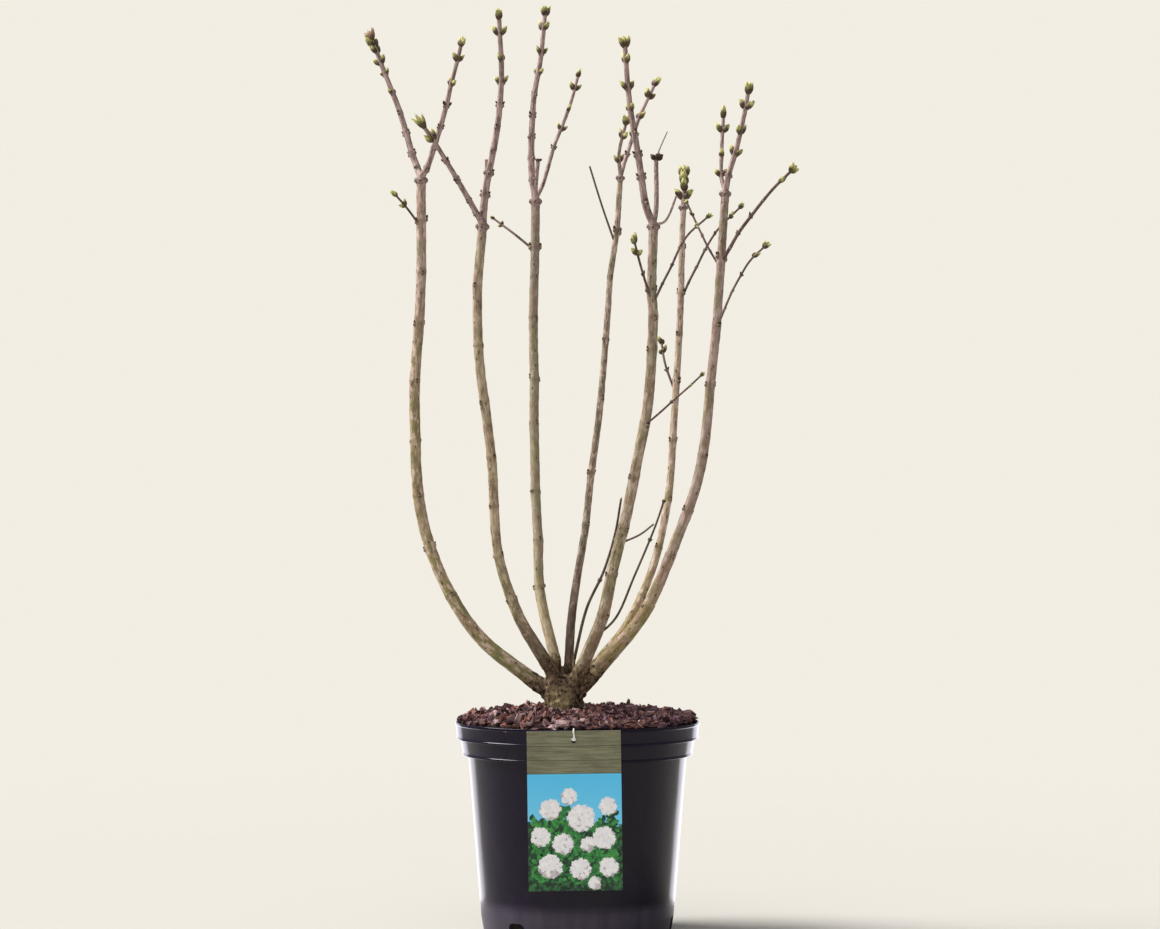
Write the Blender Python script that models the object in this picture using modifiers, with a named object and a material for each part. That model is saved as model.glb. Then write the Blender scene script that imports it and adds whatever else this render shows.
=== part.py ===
"""Lilac bush in its nursery pot, bare in late winter, at full size.

Metres, +Z up. The origin is the middle of the pot's underside, -Y is the front with the
plant label, and +X is the viewer's right. A limb's route is measured in the upright plane
through the pot's axis, as seen from EYE, a place in front of the pot. A point that lies
nearer than that plane, or behind it, keeps the outline seen from there.
"""
import math
import random

import bmesh
import bpy
from mathutils import Matrix, Vector
from mathutils.bvhtree import BVHTree

MM = 0.001
GAP = 0.3 * MM

# Place that the routes are seen from
EYE = Vector((2.9 * MM, -3930 * MM, 535.6 * MM))

# Pot
POT_HEIGHT = 242 * MM
RIM_RADIUS = 140 * MM
UPPER_BAND_FOOT = 222.8 * MM
LOWER_BAND_FOOT = 204.4 * MM
LOWER_BAND_RADIUS = 134.2 * MM
BAND_DRAFT = 2.2 * MM
BAND_TAPER = 3 * MM
BODY_TOP_RADIUS = 124.8 * MM
BODY_FOOT_RADIUS = 110.2 * MM
BODY_FOOT_HEIGHT = 21 * MM
FOOT_RADIUS = 103.5 * MM
HEEL = ((108.8 * MM, 9.45 * MM), (106.5 * MM, 2.5 * MM))
WALL = 2.1 * MM
LEDGE = 0.6 * MM
LEDGE_WALL = 1.26 * MM
LIP = 1.1 * MM
FLOOR_TOP = 5.6 * MM
FLOOR_ROUND_IN = 2.3 * MM
FLOOR_ROUND_UP = 6 * MM
RECESS_HEIGHT = 3.5 * MM
RECESS_SLOPE = 2 * MM
STANDING_RING_INNER = 88 * MM
PAD_RADIUS = 30 * MM
TURNED_STEPS = 40

# Drain openings of the pot
NOTCH_WIDTH = 22.4 * MM
NOTCH_HEIGHT = 21 * MM
NOTCH_CORNER = 6 * MM
NOTCH_CORNER_STEPS = 3
NOTCH_INNER = 99 * MM
NOTCH_DEPTH = 20 * MM
NOTCH_BELOW = 2 * MM
NOTCH_COUNT = 3
NOTCH_TURN = math.radians(-38.8)
DRAIN_RADIUS = 6 * MM
DRAIN_RING = 60 * MM
DRAIN_COUNT = 6
DRAIN_SIDES = 8
DRAIN_CUT = 20 * MM

# Filling of the pot
SOIL_TOP = 221 * MM
SOIL_EDGE_SLOPE = 0.15
MULCH_EDGE_HEIGHT = 246.6 * MM
MULCH_DOME = 8.4 * MM
MULCH_DOME_POWER = 2.2
MULCH_ROLL = 4 * MM
MULCH_LUMP = 2.3 * MM
MULCH_ROOM = 2.6 * MM
MULCH_EDGE_ROOM = 0.6 * MM
MULCH_WAIST = 3 * MM
MULCH_STEPS = 32
MULCH_RINGS = 6
MULCH_SEED = 31

# Trunk: its rings are heights with radii, its root flare's places are across and height,
# and both are in millimetres
TRUNK_ACROSS = -16.5 * MM
TRUNK_RINGS = ((221.3, 25.5), (232, 24.2), (248, 22.6), (264, 23.2), (280, 25.6), (291, 25.0), (299, 17.5))
ROOT_FLARE_FOOT = (-36, 221.3)
ROOT_FLARE_TOP = (-24, 262)
ROOT_FLARE_RADII = (9.5, 6)
ROOT_FLARE_DEPTH = 4
TRUNK_SIDES = 4
TRUNK_ROOM = 0.5 * MM
TRUNK_CUT_GRIP = 4 * MM
TRUNK_CUT_BELOW = 6 * MM
COLLAR_SWELL = 1.2
COLLAR_LOW = 267 * MM
COLLAR_SPREAD = 0.25
COLLAR_SAG = 1.5 * MM
COLLAR_RINGS = 3
COLLAR_FACE = 2 * MM

# Growth
SPLIT_HEIGHT = 448
JOINT_SPACING = 58 * MM
JOINT_SWELL = 1.1
JOINT_EASE = 2 * MM
WAIST = 0.3
FOOT_TAPER = 1.5
SWING_POWER = 2.2
STEM_SIDES = 2
SHOOT_SIDES = 1
TWIG_SIDES = 0
TWIG_LIMIT = 3.5
RING_SPACING = 30 * MM
STUB_LENGTH = 1.6
STUB_FORK = 0.6
STUB_SHAPE = ((0.0, 1.0), (0.5, 1.18), (1.0, 0.7))
FIRST_DEPTH = 0.35
ROOT_STEP = 0.1 * MM

# Buds: sizes are shares of a shoot's bud size, drawn between two bounds
BUD_SIDES = 4
BUD_PROUD = 0.24
BUD_SUNK = 0.4
BUD_NARROWING = 0.45
BUD_LEANS = (0.75, 1.15)
BUD_LENGTHS = (1.25, 1.6)
BUD_WIDTHS = (0.62, 0.78)
BUD_SHRINK = 0.8
BUD_LEAST = 0.5
BUD_SPACING = 17 * MM
BUD_CROWDING = 1.7
BUD_SPREAD = 50 * MM
TIP_ROOM = 1.5 * MM
ROOT_ROOM = 9 * MM
END_BUD_LENGTH = 1.3
END_BUD_WIDTH = 0.6
END_BUD_SPAN = 30 * MM

# Seeds of the growth
TOP_SEED = 100
SIDE_SEED = 40
WHIP_SEED = 7

# Label
LABEL_WIDTH = 104 * MM
LABEL_HEIGHT = 176.6 * MM
LABEL_THICKNESS = 0.6 * MM
LABEL_MIDDLE = -4 * MM
LABEL_TOP = 241.5 * MM
LABEL_LEAN = math.radians(0.8)
HOLE_DROP = 11 * MM
HOLE_RADIUS = 2.6 * MM
HOLE_SIDES = 12
TIE_DIAMETER = 1.8 * MM
TIE_HANG = 14 * MM
TIE_BEND = 1.6 * MM
TIE_ENTRY = 0.1 * MM


def colour(red, green, blue):
    """A screen colour, 0 to 255, as the linear colour that a shader takes."""
    return tuple((channel / 255) ** 2.2 for channel in (red, green, blue)) + (1.0,)


# Finishes: colour and roughness
FINISHES = {
    "glossy_pot": (colour(44, 38, 50), 0.22),
    "moist_compost": (colour(50, 36, 28), 0.95),
    "bark_chips": (colour(112, 66, 50), 0.9),
    "old_bark": (colour(92, 74, 58), 0.85),
    "stem_bark": (colour(150, 128, 92), 0.75),
    "young_bark": (colour(146, 112, 98), 0.6),
    "dead_bark": (colour(86, 72, 66), 0.9),
    "printed_card": (colour(86, 132, 120), 0.35),
    "white_tie": (colour(238, 238, 232), 0.4),
}


class Stem:
    """One upright stem: its route up to the fork, its depths and its thicknesses.

    route holds across and height in millimetres. foot_depth and top_depth say how far
    the stem stands towards the viewer, and the thicknesses are diameters at the foot,
    at the waist and at the fork.
    """

    def __init__(self, number, route, foot_depth, top_depth, thicknesses):
        self.name = f"stem_{number}"
        self.route = route
        self.foot_depth = foot_depth
        self.top_depth = top_depth
        self.thicknesses = thicknesses


STEMS = {
    1: Stem(1, [(-56, 292), (-110, 336), (-149, 394), (-178, 480), (-185, 592), (-181, 722), (-179, 858)],
            0, 8, (17, 13, 10.6)),
    2: Stem(2, [(-31, 312), (-69, 365), (-89, 431), (-99, 537), (-113, 649), (-114, 720), (-109, 805)],
            12, 118, (15.6, 11, 10.4)),
    3: Stem(3, [(-26, 315), (-40, 378), (-46, 435), (-49, 561), (-51, 677), (-49, 780), (-48, 834)],
            -12, -112, (12.8, 11.2, 10.4)),
    4: Stem(4, [(-10, 308), (-7, 363), (8, 466), (25, 587), (36, 709), (43, 799), (49, 862)],
            -16, -135, (11, 8.6, 6.6)),
    5: Stem(5, [(2, 306), (27, 364), (48, 445), (61, 503), (70, 551), (79, 600), (85, 712), (87, 805)],
            13, 112, (15.6, 12.6, 10.2)),
    6: Stem(6, [(22, 309), (56, 350), (87, 416), (104, 495), (109, 587), (116, 709), (121, 828)],
            -14, -92, (10.8, 9, 7)),
    7: Stem(7, [(24, 302), (74, 363), (116, 455), (142, 532), (156, 660), (163, 773), (169, 843)],
            4, 42, (17, 12.4, 9.2)),
}


class Shoot:
    """A twig or shoot: its route after the point it leaves, its depth and thickness.

    ends is the thickness at its root and its tip. buds is the size of its tip buds in
    millimetres, 0 on dead wood. fullness is the share of its joints that carry buds.
    """

    def __init__(self, route, tip_depth, ends, buds=0.0, fullness=1.0):
        self.route = route
        self.tip_depth = tip_depth
        self.ends = ends
        self.buds = buds
        self.fullness = fullness


# Shoots of each stem's top, from the fork upwards
TOPS = {
    1: [Shoot([(-186, 882), (-208, 952), (-237, 1025)], -38, (8, 4.6), 9.5),
        Shoot([(-171, 880), (-154, 934), (-133, 1018)], 46, (7.2, 4.2), 8.5)],
    2: [Shoot([(-105, 852), (-93, 912), (-87, 970), (-90, 1049)], 138, (8.6, 5), 9),
        Shoot([(-117, 826), (-150, 883), (-177, 924)], 168, (7, 4.4), 10),
        Shoot([(-104, 866), (-104, 885)], 124, (5, 4.4))],
    3: [Shoot([(-53, 873), (-51, 945), (-43, 996), (-37, 1053)], -120, (8.4, 4.8), 9.5),
        Shoot([(-40, 856), (-25, 904), (-9, 945), (1, 982)], -166, (5, 3.8), 8),
        Shoot([(-47, 862), (-45, 886)], -108, (4.2, 5))],
    4: [Shoot([(48, 892), (56, 928)], -118, (4.6, 3.6), 9),
        Shoot([(56, 890), (71, 932), (89, 972)], -176, (5, 4), 9.5)],
    5: [Shoot([(80, 828), (70, 884), (58, 965), (54, 1017)], 130, (8.6, 5.2), 9.5),
        Shoot([(90, 828), (90, 888)], 98, (5.6, 5)),
        Shoot([(90, 828), (90, 884), (95, 899), (103, 917)], 92, (2.2, 1.4)),
        Shoot([(100, 814), (115, 847)], 134, (3, 2.2))],
    6: [Shoot([(122, 848), (122, 869)], -100, (5.6, 4.4), 11)],
    7: [Shoot([(165, 864), (165, 900), (167, 936)], 22, (4.8, 4), 9.5),
        Shoot([(173, 866), (186, 914), (196, 964)], 64, (6.8, 4.6), 10.5)],
}


class Side:
    """A twig on the side of a stem: the stem, the height it leaves at, and its shoot."""

    def __init__(self, stem, height, shoot):
        self.stem = stem
        self.height = height
        self.shoot = shoot


SIDES = {
    "stem_1_side_twig": Side(1, 806, Shoot([(-195, 829), (-209, 845)], 26, (2.8, 2.4), 7)),
    "stem_3_side_twig": Side(3, 776, Shoot([(-73, 800), (-97, 818)], -150, (3.2, 2.4), 5)),
    "stem_4_dead_twig": Side(4, 787, Shoot([(28, 832), (14, 877)], -98, (2.6, 2.2))),
    "stem_5_left_twig": Side(5, 717, Shoot([(74, 756), (65, 792)], 152, (2.8, 2.6), 8.5)),
    "stem_5_right_twig": Side(5, 718, Shoot([(104, 756), (125, 797), (150, 820)], 158, (2.8, 2.4), 5)),
    "stem_5_low_twig": Side(5, 578, Shoot([(97, 597), (143, 639)], 122, (2.4, 2.2), 4)),
    "stem_5_whip": Side(5, 335, Shoot([(43, 359), (65, 408), (90, 468), (99, 494)], 24, (2.4, 2), 3.5, 0.5)),
    "stem_5_strut": Side(5, 442, Shoot([(71, 455), (87, 467)], 44, (2.4, 2.2))),
    "stem_6_left_twig": Side(6, 613, Shoot([(100, 652), (96, 676)], -122, (2.8, 2.6), 8)),
    "stem_6_right_twig": Side(6, 722, Shoot([(134, 757), (161, 805), (187, 831)], -138, (3, 2.4), 6)),
    "stem_7_left_twig": Side(7, 760, Shoot([(146, 791), (125, 836)], 6, (2.6, 2.4), 4)),
    "stem_7_right_twig": Side(7, 762, Shoot([(185, 801), (219, 846), (246, 873)], 98, (4.2, 3.2), 8)),
    "stem_7_low_twig": Side(7, 686, Shoot([(169, 716), (194, 764), (215, 786)], -14, (2.8, 2.4), 7)),
}

# Thin whip that leaves the trunk between stems 4 and 5
WHIP_FOOT = (-3, 316)
WHIP_DEPTH = 2
WHIP = Shoot([(11, 372), (30, 413), (43, 455), (50, 496)], 16, (3.4, 2.2), 3, 0.4)


def start_clean():
    """Removes every object, and makes the collections for the parts and the cutters."""
    for obj in list(bpy.data.objects):
        bpy.data.objects.remove(obj, do_unlink=True)
    made = []
    for name in ("lilac_bush", "cutters"):
        collection = bpy.data.collections.new(name)
        bpy.context.scene.collection.children.link(collection)
        made.append(collection)
    return made


PARTS, CUTTERS = start_clean()


def finish(name):
    """The material of a finish, made once."""
    material = bpy.data.materials.get(name)
    if material is None:
        material = bpy.data.materials.new(name)
        material.use_nodes = True
        shader = material.node_tree.nodes["Principled BSDF"]
        shader.inputs["Base Color"].default_value = FINISHES[name][0]
        shader.inputs["Roughness"].default_value = FINISHES[name][1]
        shader.inputs["Metallic"].default_value = 0.0
    return material


def add_part(name, data, finish_name, collection=PARTS):
    """A named object of a mesh or curve, in its collection, with its material."""
    obj = bpy.data.objects.new(name, data)
    collection.objects.link(obj)
    data.materials.clear()
    data.materials.append(finish(finish_name))
    if collection is CUTTERS:
        obj.hide_render = True
        obj.display_type = "WIRE"
    return obj


def evaluated_mesh(obj):
    """The object's mesh with its modifiers and bevel, in world space, seams welded."""
    depsgraph = bpy.context.evaluated_depsgraph_get()
    mesh = bpy.data.meshes.new_from_object(obj.evaluated_get(depsgraph))
    mesh.transform(obj.matrix_world)
    shape = bmesh.new()
    shape.from_mesh(mesh)
    bmesh.ops.remove_doubles(shape, verts=shape.verts, dist=1e-6)
    shape.to_mesh(mesh)
    shape.free()
    return mesh


def made_mesh(obj, collection=PARTS):
    """Replaces a curve or a modified object by its plain mesh, under the same name."""
    bpy.context.view_layer.update()
    name = obj.name
    finish_name = obj.data.materials[0].name
    mesh = evaluated_mesh(obj)
    bpy.data.objects.remove(obj, do_unlink=True)
    return add_part(name, mesh, finish_name, collection)


def joined(name, pieces, finish_name):
    """One solid from overlapping pieces, by one union on a collection of them."""
    first, rest = pieces[0], pieces[1:]
    group = bpy.data.collections.new(name + "_pieces")
    bpy.context.scene.collection.children.link(group)
    for piece in rest:
        group.objects.link(piece)
    union = first.modifiers.new("union", "BOOLEAN")
    union.operation = "UNION"
    union.operand_type = "COLLECTION"
    union.collection = group
    bpy.context.view_layer.update()
    mesh = evaluated_mesh(first)
    drop_scraps(mesh)
    for piece in pieces:
        bpy.data.objects.remove(piece, do_unlink=True)
    bpy.data.collections.remove(group)
    return add_part(name, mesh, finish_name)


def drop_scraps(mesh):
    """Keeps a mesh's largest body, where a union left a loose scrap beside it."""
    shape = bmesh.new()
    shape.from_mesh(mesh)
    waiting = set(shape.verts)
    bodies = []
    while waiting:
        front = [waiting.pop()]
        body = []
        while front:
            vert = front.pop()
            body.append(vert)
            for edge in vert.link_edges:
                other = edge.other_vert(vert)
                if other in waiting:
                    waiting.remove(other)
                    front.append(other)
        bodies.append(body)
    bodies.sort(key=len)
    for body in bodies[:-1]:
        bmesh.ops.delete(shape, geom=body, context="VERTS")
    shape.to_mesh(mesh)
    shape.free()


def subtracted(target, cutter_group):
    """Cuts a collection of cutters out of the target, and applies the cut."""
    cut = target.modifiers.new("cut", "BOOLEAN")
    cut.operation = "DIFFERENCE"
    cut.operand_type = "COLLECTION"
    cut.collection = cutter_group
    return made_mesh(target)


def cutter_collection(name):
    """A collection of its own for the cutters of one part."""
    group = bpy.data.collections.new(name)
    CUTTERS.children.link(group)
    return group


def turned(name, profile, finish_name, steps=TURNED_STEPS):
    """A turned shape from radius and height points that run down its outer side."""
    mesh = bpy.data.meshes.new(name)
    shape = bmesh.new()
    verts = [shape.verts.new((radius, 0.0, height)) for radius, height in profile]
    for lower, upper in zip(verts, verts[1:]):
        shape.edges.new((lower, upper))
    shape.to_mesh(mesh)
    shape.free()
    obj = add_part(name, mesh, finish_name)
    screw = obj.modifiers.new("turn", "SCREW")
    screw.steps = steps
    screw.render_steps = steps
    screw.use_merge_vertices = True
    screw.merge_threshold = 0.00001
    return made_mesh(obj)


def tube(name, points, radii, finish_name, sides=SHOOT_SIDES, collection=PARTS):
    """A closed tube through points, with a radius at each."""
    curve = bpy.data.curves.new(name, "CURVE")
    curve.dimensions = "3D"
    curve.bevel_depth = 1.0
    curve.bevel_resolution = sides
    curve.use_fill_caps = True
    spline = curve.splines.new("POLY")
    spline.points.add(len(points) - 1)
    for station, point, radius in zip(spline.points, points, radii):
        station.co = (*point, 1.0)
        station.radius = radius
    return add_part(name, curve, finish_name, collection)


def seen_at(across, height, depth):
    """The place of a point given in the axis plane in millimetres, moved to its depth."""
    share = (-EYE.y - depth * MM) / -EYE.y
    x = EYE.x + (across * MM - EYE.x) * share
    z = EYE.z + (height * MM - EYE.z) * share
    return Vector((x, -depth * MM, z))


def rounded_through(waypoints, per_span=16):
    """A smooth line through waypoints, with even swing on either side of each."""
    ends = [waypoints[0] * 2 - waypoints[1], waypoints[-1] * 2 - waypoints[-2]]
    chain = [ends[0], *waypoints, ends[1]]
    line = []
    for before, start, end, after in zip(chain, chain[1:], chain[2:], chain[3:]):
        times = [0.0]
        for one, other in ((before, start), (start, end), (end, after)):
            times.append(times[-1] + math.sqrt((other - one).length))
        for step in range(per_span):
            now = times[1] + (times[2] - times[1]) * step / per_span
            low = before.lerp(start, (now - times[0]) / (times[1] - times[0]))
            middle = start.lerp(end, (now - times[1]) / (times[2] - times[1]))
            high = end.lerp(after, (now - times[2]) / (times[3] - times[2]))
            inner = low.lerp(middle, (now - times[0]) / (times[2] - times[0]))
            outer = middle.lerp(high, (now - times[1]) / (times[3] - times[1]))
            line.append(inner.lerp(outer, (now - times[1]) / (times[2] - times[1])))
    line.append(waypoints[-1])
    return line


class Line:
    """A centre line with places and directions by the length along it."""

    def __init__(self, waypoints):
        self.points = rounded_through(waypoints)
        self.marks = [0.0]
        for one, other in zip(self.points, self.points[1:]):
            self.marks.append(self.marks[-1] + (other - one).length)
        self.length = self.marks[-1]

    def at(self, mark):
        """The place at a length along the line."""
        mark = min(max(mark, 0.0), self.length)
        for index in range(1, len(self.marks)):
            if mark <= self.marks[index] or index == len(self.marks) - 1:
                run = self.marks[index] - self.marks[index - 1]
                share = (mark - self.marks[index - 1]) / run
                return self.points[index - 1].lerp(self.points[index], share)

    def along(self, mark):
        """The direction of growth at a length along the line."""
        step = 0.5 * MM
        return (self.at(mark + step) - self.at(mark - step)).normalized()

    def mark_of_height(self, height):
        """The length along an upright line where it passes a height."""
        for mark, point in zip(self.marks, self.points):
            if point.z >= height:
                return mark
        return self.length


def depth_on_stem(stem, height):
    """A stem's depth at a height: it swings out low down and then stands upright."""
    foot = stem.route[0][1]
    top = stem.route[-1][1]
    share = min(max((height - foot) / (top - foot), 0.0), 1.0)
    swing = 1 - (1 - share) ** SWING_POWER
    return stem.foot_depth + (stem.top_depth - stem.foot_depth) * swing


def stem_line(stem):
    """The centre line of a stem from its foot at the trunk to its fork."""
    return Line([seen_at(across, height, depth_on_stem(stem, height)) for across, height in stem.route])


LINES = {number: stem_line(stem) for number, stem in STEMS.items()}
STEM_SURFACES = []


def joint_marks(length):
    """Where the leaf joints of a limb are, counted down from its tip."""
    count = int(length / JOINT_SPACING)
    return [length - JOINT_SPACING * (step + 0.5) for step in range(count)]


def stem_radius(stem, line, mark):
    """A stem's radius at a length along it, without the swelling of its joints."""
    foot, waist, top = (thickness / 2 * MM for thickness in stem.thicknesses)
    share = mark / line.length
    if share < WAIST:
        return waist + (foot - waist) * (1 - share / WAIST) ** FOOT_TAPER
    return waist + (top - waist) * (share - WAIST) / (1 - WAIST)


def stem_stations(stem, line, start, end):
    """Marks and radii of a stem's rings between two marks, with its joints swollen."""
    rings = {start: 1.0, start + JOINT_EASE: 1.0, end - JOINT_EASE: 1.0, end: 1.0}
    for joint in joint_marks(line.length):
        for mark, swell in ((joint - JOINT_SPACING / 2, 1.0), (joint, JOINT_SWELL)):
            if start + 3 * JOINT_EASE < mark < end - 3 * JOINT_EASE:
                rings[mark] = swell
    marks = sorted(rings)
    return marks, [stem_radius(stem, line, mark) * rings[mark] for mark in marks]


def build_stem(number):
    """The two solids of a stem, parted face to face where its bow turns upright."""
    stem = STEMS[number]
    line = LINES[number]
    parting = line.mark_of_height(seen_at(0, SPLIT_HEIGHT, depth_on_stem(stem, SPLIT_HEIGHT)).z)
    spans = {"lower": (GAP, parting), "upper": (parting + GAP, line.length)}
    for half, (start, end) in spans.items():
        marks, radii = stem_stations(stem, line, start, end)
        points = [line.at(mark) for mark in marks]
        solid = made_mesh(tube(f"{stem.name}_{half}", points, radii, "stem_bark", STEM_SIDES))
        polygons = [tuple(face.vertices) for face in solid.data.polygons]
        STEM_SURFACES.append(BVHTree.FromPolygons([vert.co for vert in solid.data.vertices], polygons))


def bud(name, place, direction, length, width, finish_name):
    """A plump pointed bud that grows from a place in a direction."""
    shape = bmesh.new()
    bmesh.ops.create_uvsphere(shape, u_segments=BUD_SIDES, v_segments=3, radius=0.5)
    for vert in shape.verts:
        narrow = 1.0 - BUD_NARROWING * max(vert.co.z, 0.0) / 0.5
        vert.co = Vector((vert.co.x * width * narrow, vert.co.y * width * narrow, vert.co.z * length))
    turn = direction.to_track_quat("Z", "Y").to_matrix().to_4x4()
    centre = place + direction * length * BUD_PROUD
    bmesh.ops.transform(shape, matrix=Matrix.Translation(centre) @ turn, verts=shape.verts)
    mesh = bpy.data.meshes.new(name)
    shape.to_mesh(mesh)
    shape.free()
    return add_part(name, mesh, finish_name)


def pair_of_buds(name, line, mark, radius, size, turn, draw, finish_name):
    """Two buds opposite each other at a joint, leaning upwards along the shoot."""
    growth = line.along(mark)
    side = growth.orthogonal().normalized()
    side.rotate(Matrix.Rotation(turn, 3, growth))
    made = []
    for sign in (-1, 1):
        lean = (side * sign + growth * draw.uniform(*BUD_LEANS)).normalized()
        place = line.at(mark) + side * sign * radius * BUD_SUNK
        length = size * draw.uniform(*BUD_LENGTHS) * MM
        width = size * draw.uniform(*BUD_WIDTHS) * MM
        made.append(bud(f"{name}_{len(made)}", place, lean, length, width, finish_name))
    return made


def shoot_pieces(name, line, start, shoot, draw, finish_name):
    """The tube of a shoot from a mark to its tip, and its buds by the seeded rule.

    Buds stand in opposite pairs, each pair turned a quarter from the last, and the
    pairs crowd together and grow towards the tip, which ends in a pair of large buds.
    """
    root, tip = (thickness / 2 * MM for thickness in shoot.ends)
    span = line.length - start
    steps = max(2, round(span / RING_SPACING))
    sides = SHOOT_SIDES if shoot.ends[0] > TWIG_LIMIT else TWIG_SIDES
    marks = [start, start + MM] + [start + span * step / steps for step in range(1, steps + 1)]
    radii = [root + (tip - root) * (mark - start) / span for mark in marks]
    pieces = [made_mesh(tube(name, [line.at(mark) for mark in marks], radii, finish_name, sides))]
    if not shoot.buds:
        return pieces
    turn = draw.uniform(0, math.pi)
    mark = line.length - TIP_ROOM
    size = shoot.buds
    spacing = BUD_SPACING
    while mark > start + ROOT_ROOM:
        radius = root + (tip - root) * (mark - start) / span
        at_tip = len(pieces) == 1
        if at_tip or draw.random() < shoot.fullness:
            grown = pair_of_buds(f"{name}_b{len(pieces)}", line, mark, radius, size, turn, draw, finish_name)
            pieces.extend(grown)
        turn += math.pi / 2
        size = max(size * BUD_SHRINK, shoot.buds * BUD_LEAST)
        mark -= spacing
        spacing = min(spacing * BUD_CROWDING, BUD_SPREAD)
    if span > END_BUD_SPAN:
        end = line.along(line.length)
        length = shoot.buds * END_BUD_LENGTH * MM
        width = shoot.buds * END_BUD_WIDTH * MM
        pieces.append(bud(name + "_end", line.at(line.length), end, length, width, finish_name))
    return pieces


def shoot_line(start_point, start_depth, shoot):
    """The centre line of a shoot from a point, its depth changing evenly to its tip."""
    first = shoot.route[0]
    heights = [height for _, height in shoot.route]
    rise = heights[-1] - first[1]
    points = [start_point]
    for across, height in shoot.route:
        share = FIRST_DEPTH + (1 - FIRST_DEPTH) * (height - first[1]) / rise if rise > 0 else 1.0
        points.append(seen_at(across, height, start_depth + (shoot.tip_depth - start_depth) * share))
    return Line(points)


def build_top(number):
    """The spray of shoots that a stem forks into, on a stub that goes on from the stem."""
    stem = STEMS[number]
    line = LINES[number]
    draw = random.Random(TOP_SEED + number)
    growth = line.along(line.length)
    radius = stem_radius(stem, line, line.length)
    start = line.at(line.length) + growth * GAP
    stub_height = radius * STUB_LENGTH
    fork = start + growth * stub_height * STUB_FORK
    finish_name = "young_bark"
    name = f"{stem.name}_top"
    points = [start + growth * stub_height * share for share, _ in STUB_SHAPE]
    radii = [radius * swell for _, swell in STUB_SHAPE]
    pieces = [made_mesh(tube(name + "_stub", points, radii, finish_name, STEM_SIDES))]
    for index, shoot in enumerate(TOPS[number]):
        route = shoot_line(fork, stem.top_depth, shoot)
        pieces.extend(shoot_pieces(f"{name}_{index}", route, 0.0, shoot, draw, finish_name))
    joined(name, pieces, finish_name)


def stands_clear(place, direction, radius):
    """Whether a twig's flat round end stands just clear of every stem."""
    side = direction.orthogonal().normalized() * radius
    count = 12
    turns = (Matrix.Rotation(index * math.tau / count, 3, direction) for index in range(count))
    for corner in [place] + [place + turn @ side for turn in turns]:
        for surface in STEM_SURFACES:
            nearest, normal, _, distance = surface.find_nearest(corner)
            if distance < GAP or (corner - nearest).dot(normal) < 0:
                return False
    return True


def clear_mark(route, radius):
    """The length along a twig's route, from the stem's axis, where its solid can start."""
    mark = radius
    while not stands_clear(route.at(mark), route.along(mark), radius):
        mark += ROOT_STEP
    return mark


def build_side_twig(name, side, seed):
    """A twig whose flat root stands just clear of the stem it grows on."""
    stem = STEMS[side.stem]
    line = LINES[side.stem]
    depth = depth_on_stem(stem, side.height)
    mark = line.mark_of_height(seen_at(0, side.height, depth).z)
    route = shoot_line(line.at(mark), depth, side.shoot)
    start = clear_mark(route, side.shoot.ends[0] / 2 * MM)
    finish_name = "young_bark" if side.shoot.buds else "dead_bark"
    pieces = shoot_pieces(name + "_twig", route, start, side.shoot, random.Random(seed), finish_name)
    joined(name, pieces, finish_name)


def build_trunk_whip():
    """The thin whip that grows up from the trunk's crown."""
    start = seen_at(*WHIP_FOOT, WHIP_DEPTH)
    route = shoot_line(start, WHIP_DEPTH, WHIP)
    pieces = shoot_pieces("whip", route, GAP, WHIP, random.Random(WHIP_SEED), "young_bark")
    joined("trunk_whip", pieces, "young_bark")


def stump_pieces(growth, collection=PARTS):
    """The trunk's body and its root flare, grown all round by a clearance."""
    centre_line = [Vector((TRUNK_ACROSS, 0, height * MM)) for height, _ in TRUNK_RINGS]
    radii = [radius * MM + growth for _, radius in TRUNK_RINGS]
    flare_line = [seen_at(*ROOT_FLARE_FOOT, ROOT_FLARE_DEPTH), seen_at(*ROOT_FLARE_TOP, 0)]
    flare_line[0].z = centre_line[0].z
    flare_radii = [radius * MM + growth for radius in ROOT_FLARE_RADII]
    body = tube("trunk_body", centre_line, radii, "old_bark", TRUNK_SIDES, collection)
    flare = tube("trunk_flare", flare_line, flare_radii, "old_bark", STEM_SIDES, collection)
    return [made_mesh(body, collection), made_mesh(flare, collection)]


def collar(name, foot, growth, radius):
    """The trunk's own root of one stem, ending in a flat face square to the stem."""
    middle = Vector((TRUNK_ACROSS, 0, COLLAR_LOW))
    low = middle.lerp(Vector((foot.x, foot.y, COLLAR_LOW)), COLLAR_SPREAD)
    sag = low.lerp(foot, 0.5) - Vector((0, 0, COLLAR_SAG))
    bend = Line([low, sag, foot - growth * COLLAR_FACE])
    marks = [bend.length * step / COLLAR_RINGS for step in range(COLLAR_RINGS + 1)]
    points = [bend.at(mark) for mark in marks] + [foot]
    radii = [radius * (COLLAR_SWELL + (1 - COLLAR_SWELL) * mark / bend.length) for mark in marks] + [radius]
    return made_mesh(tube(name, points, radii, "old_bark", STEM_SIDES))


def build_trunk():
    """The short trunk with its root flare and a collar for every stem."""
    pieces = stump_pieces(0.0)
    for number, line in LINES.items():
        radius = stem_radius(STEMS[number], line, 0.0)
        pieces.append(collar(f"collar_{number}", line.at(0.0), line.along(0.0), radius))
    whip = shoot_line(seen_at(*WHIP_FOOT, WHIP_DEPTH), WHIP_DEPTH, WHIP)
    pieces.append(collar("collar_whip", whip.at(0.0), whip.along(0.0), WHIP.ends[0] / 2 * MM))
    trunk = joined("trunk", pieces, "old_bark")
    flatten_foot(trunk)


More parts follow.
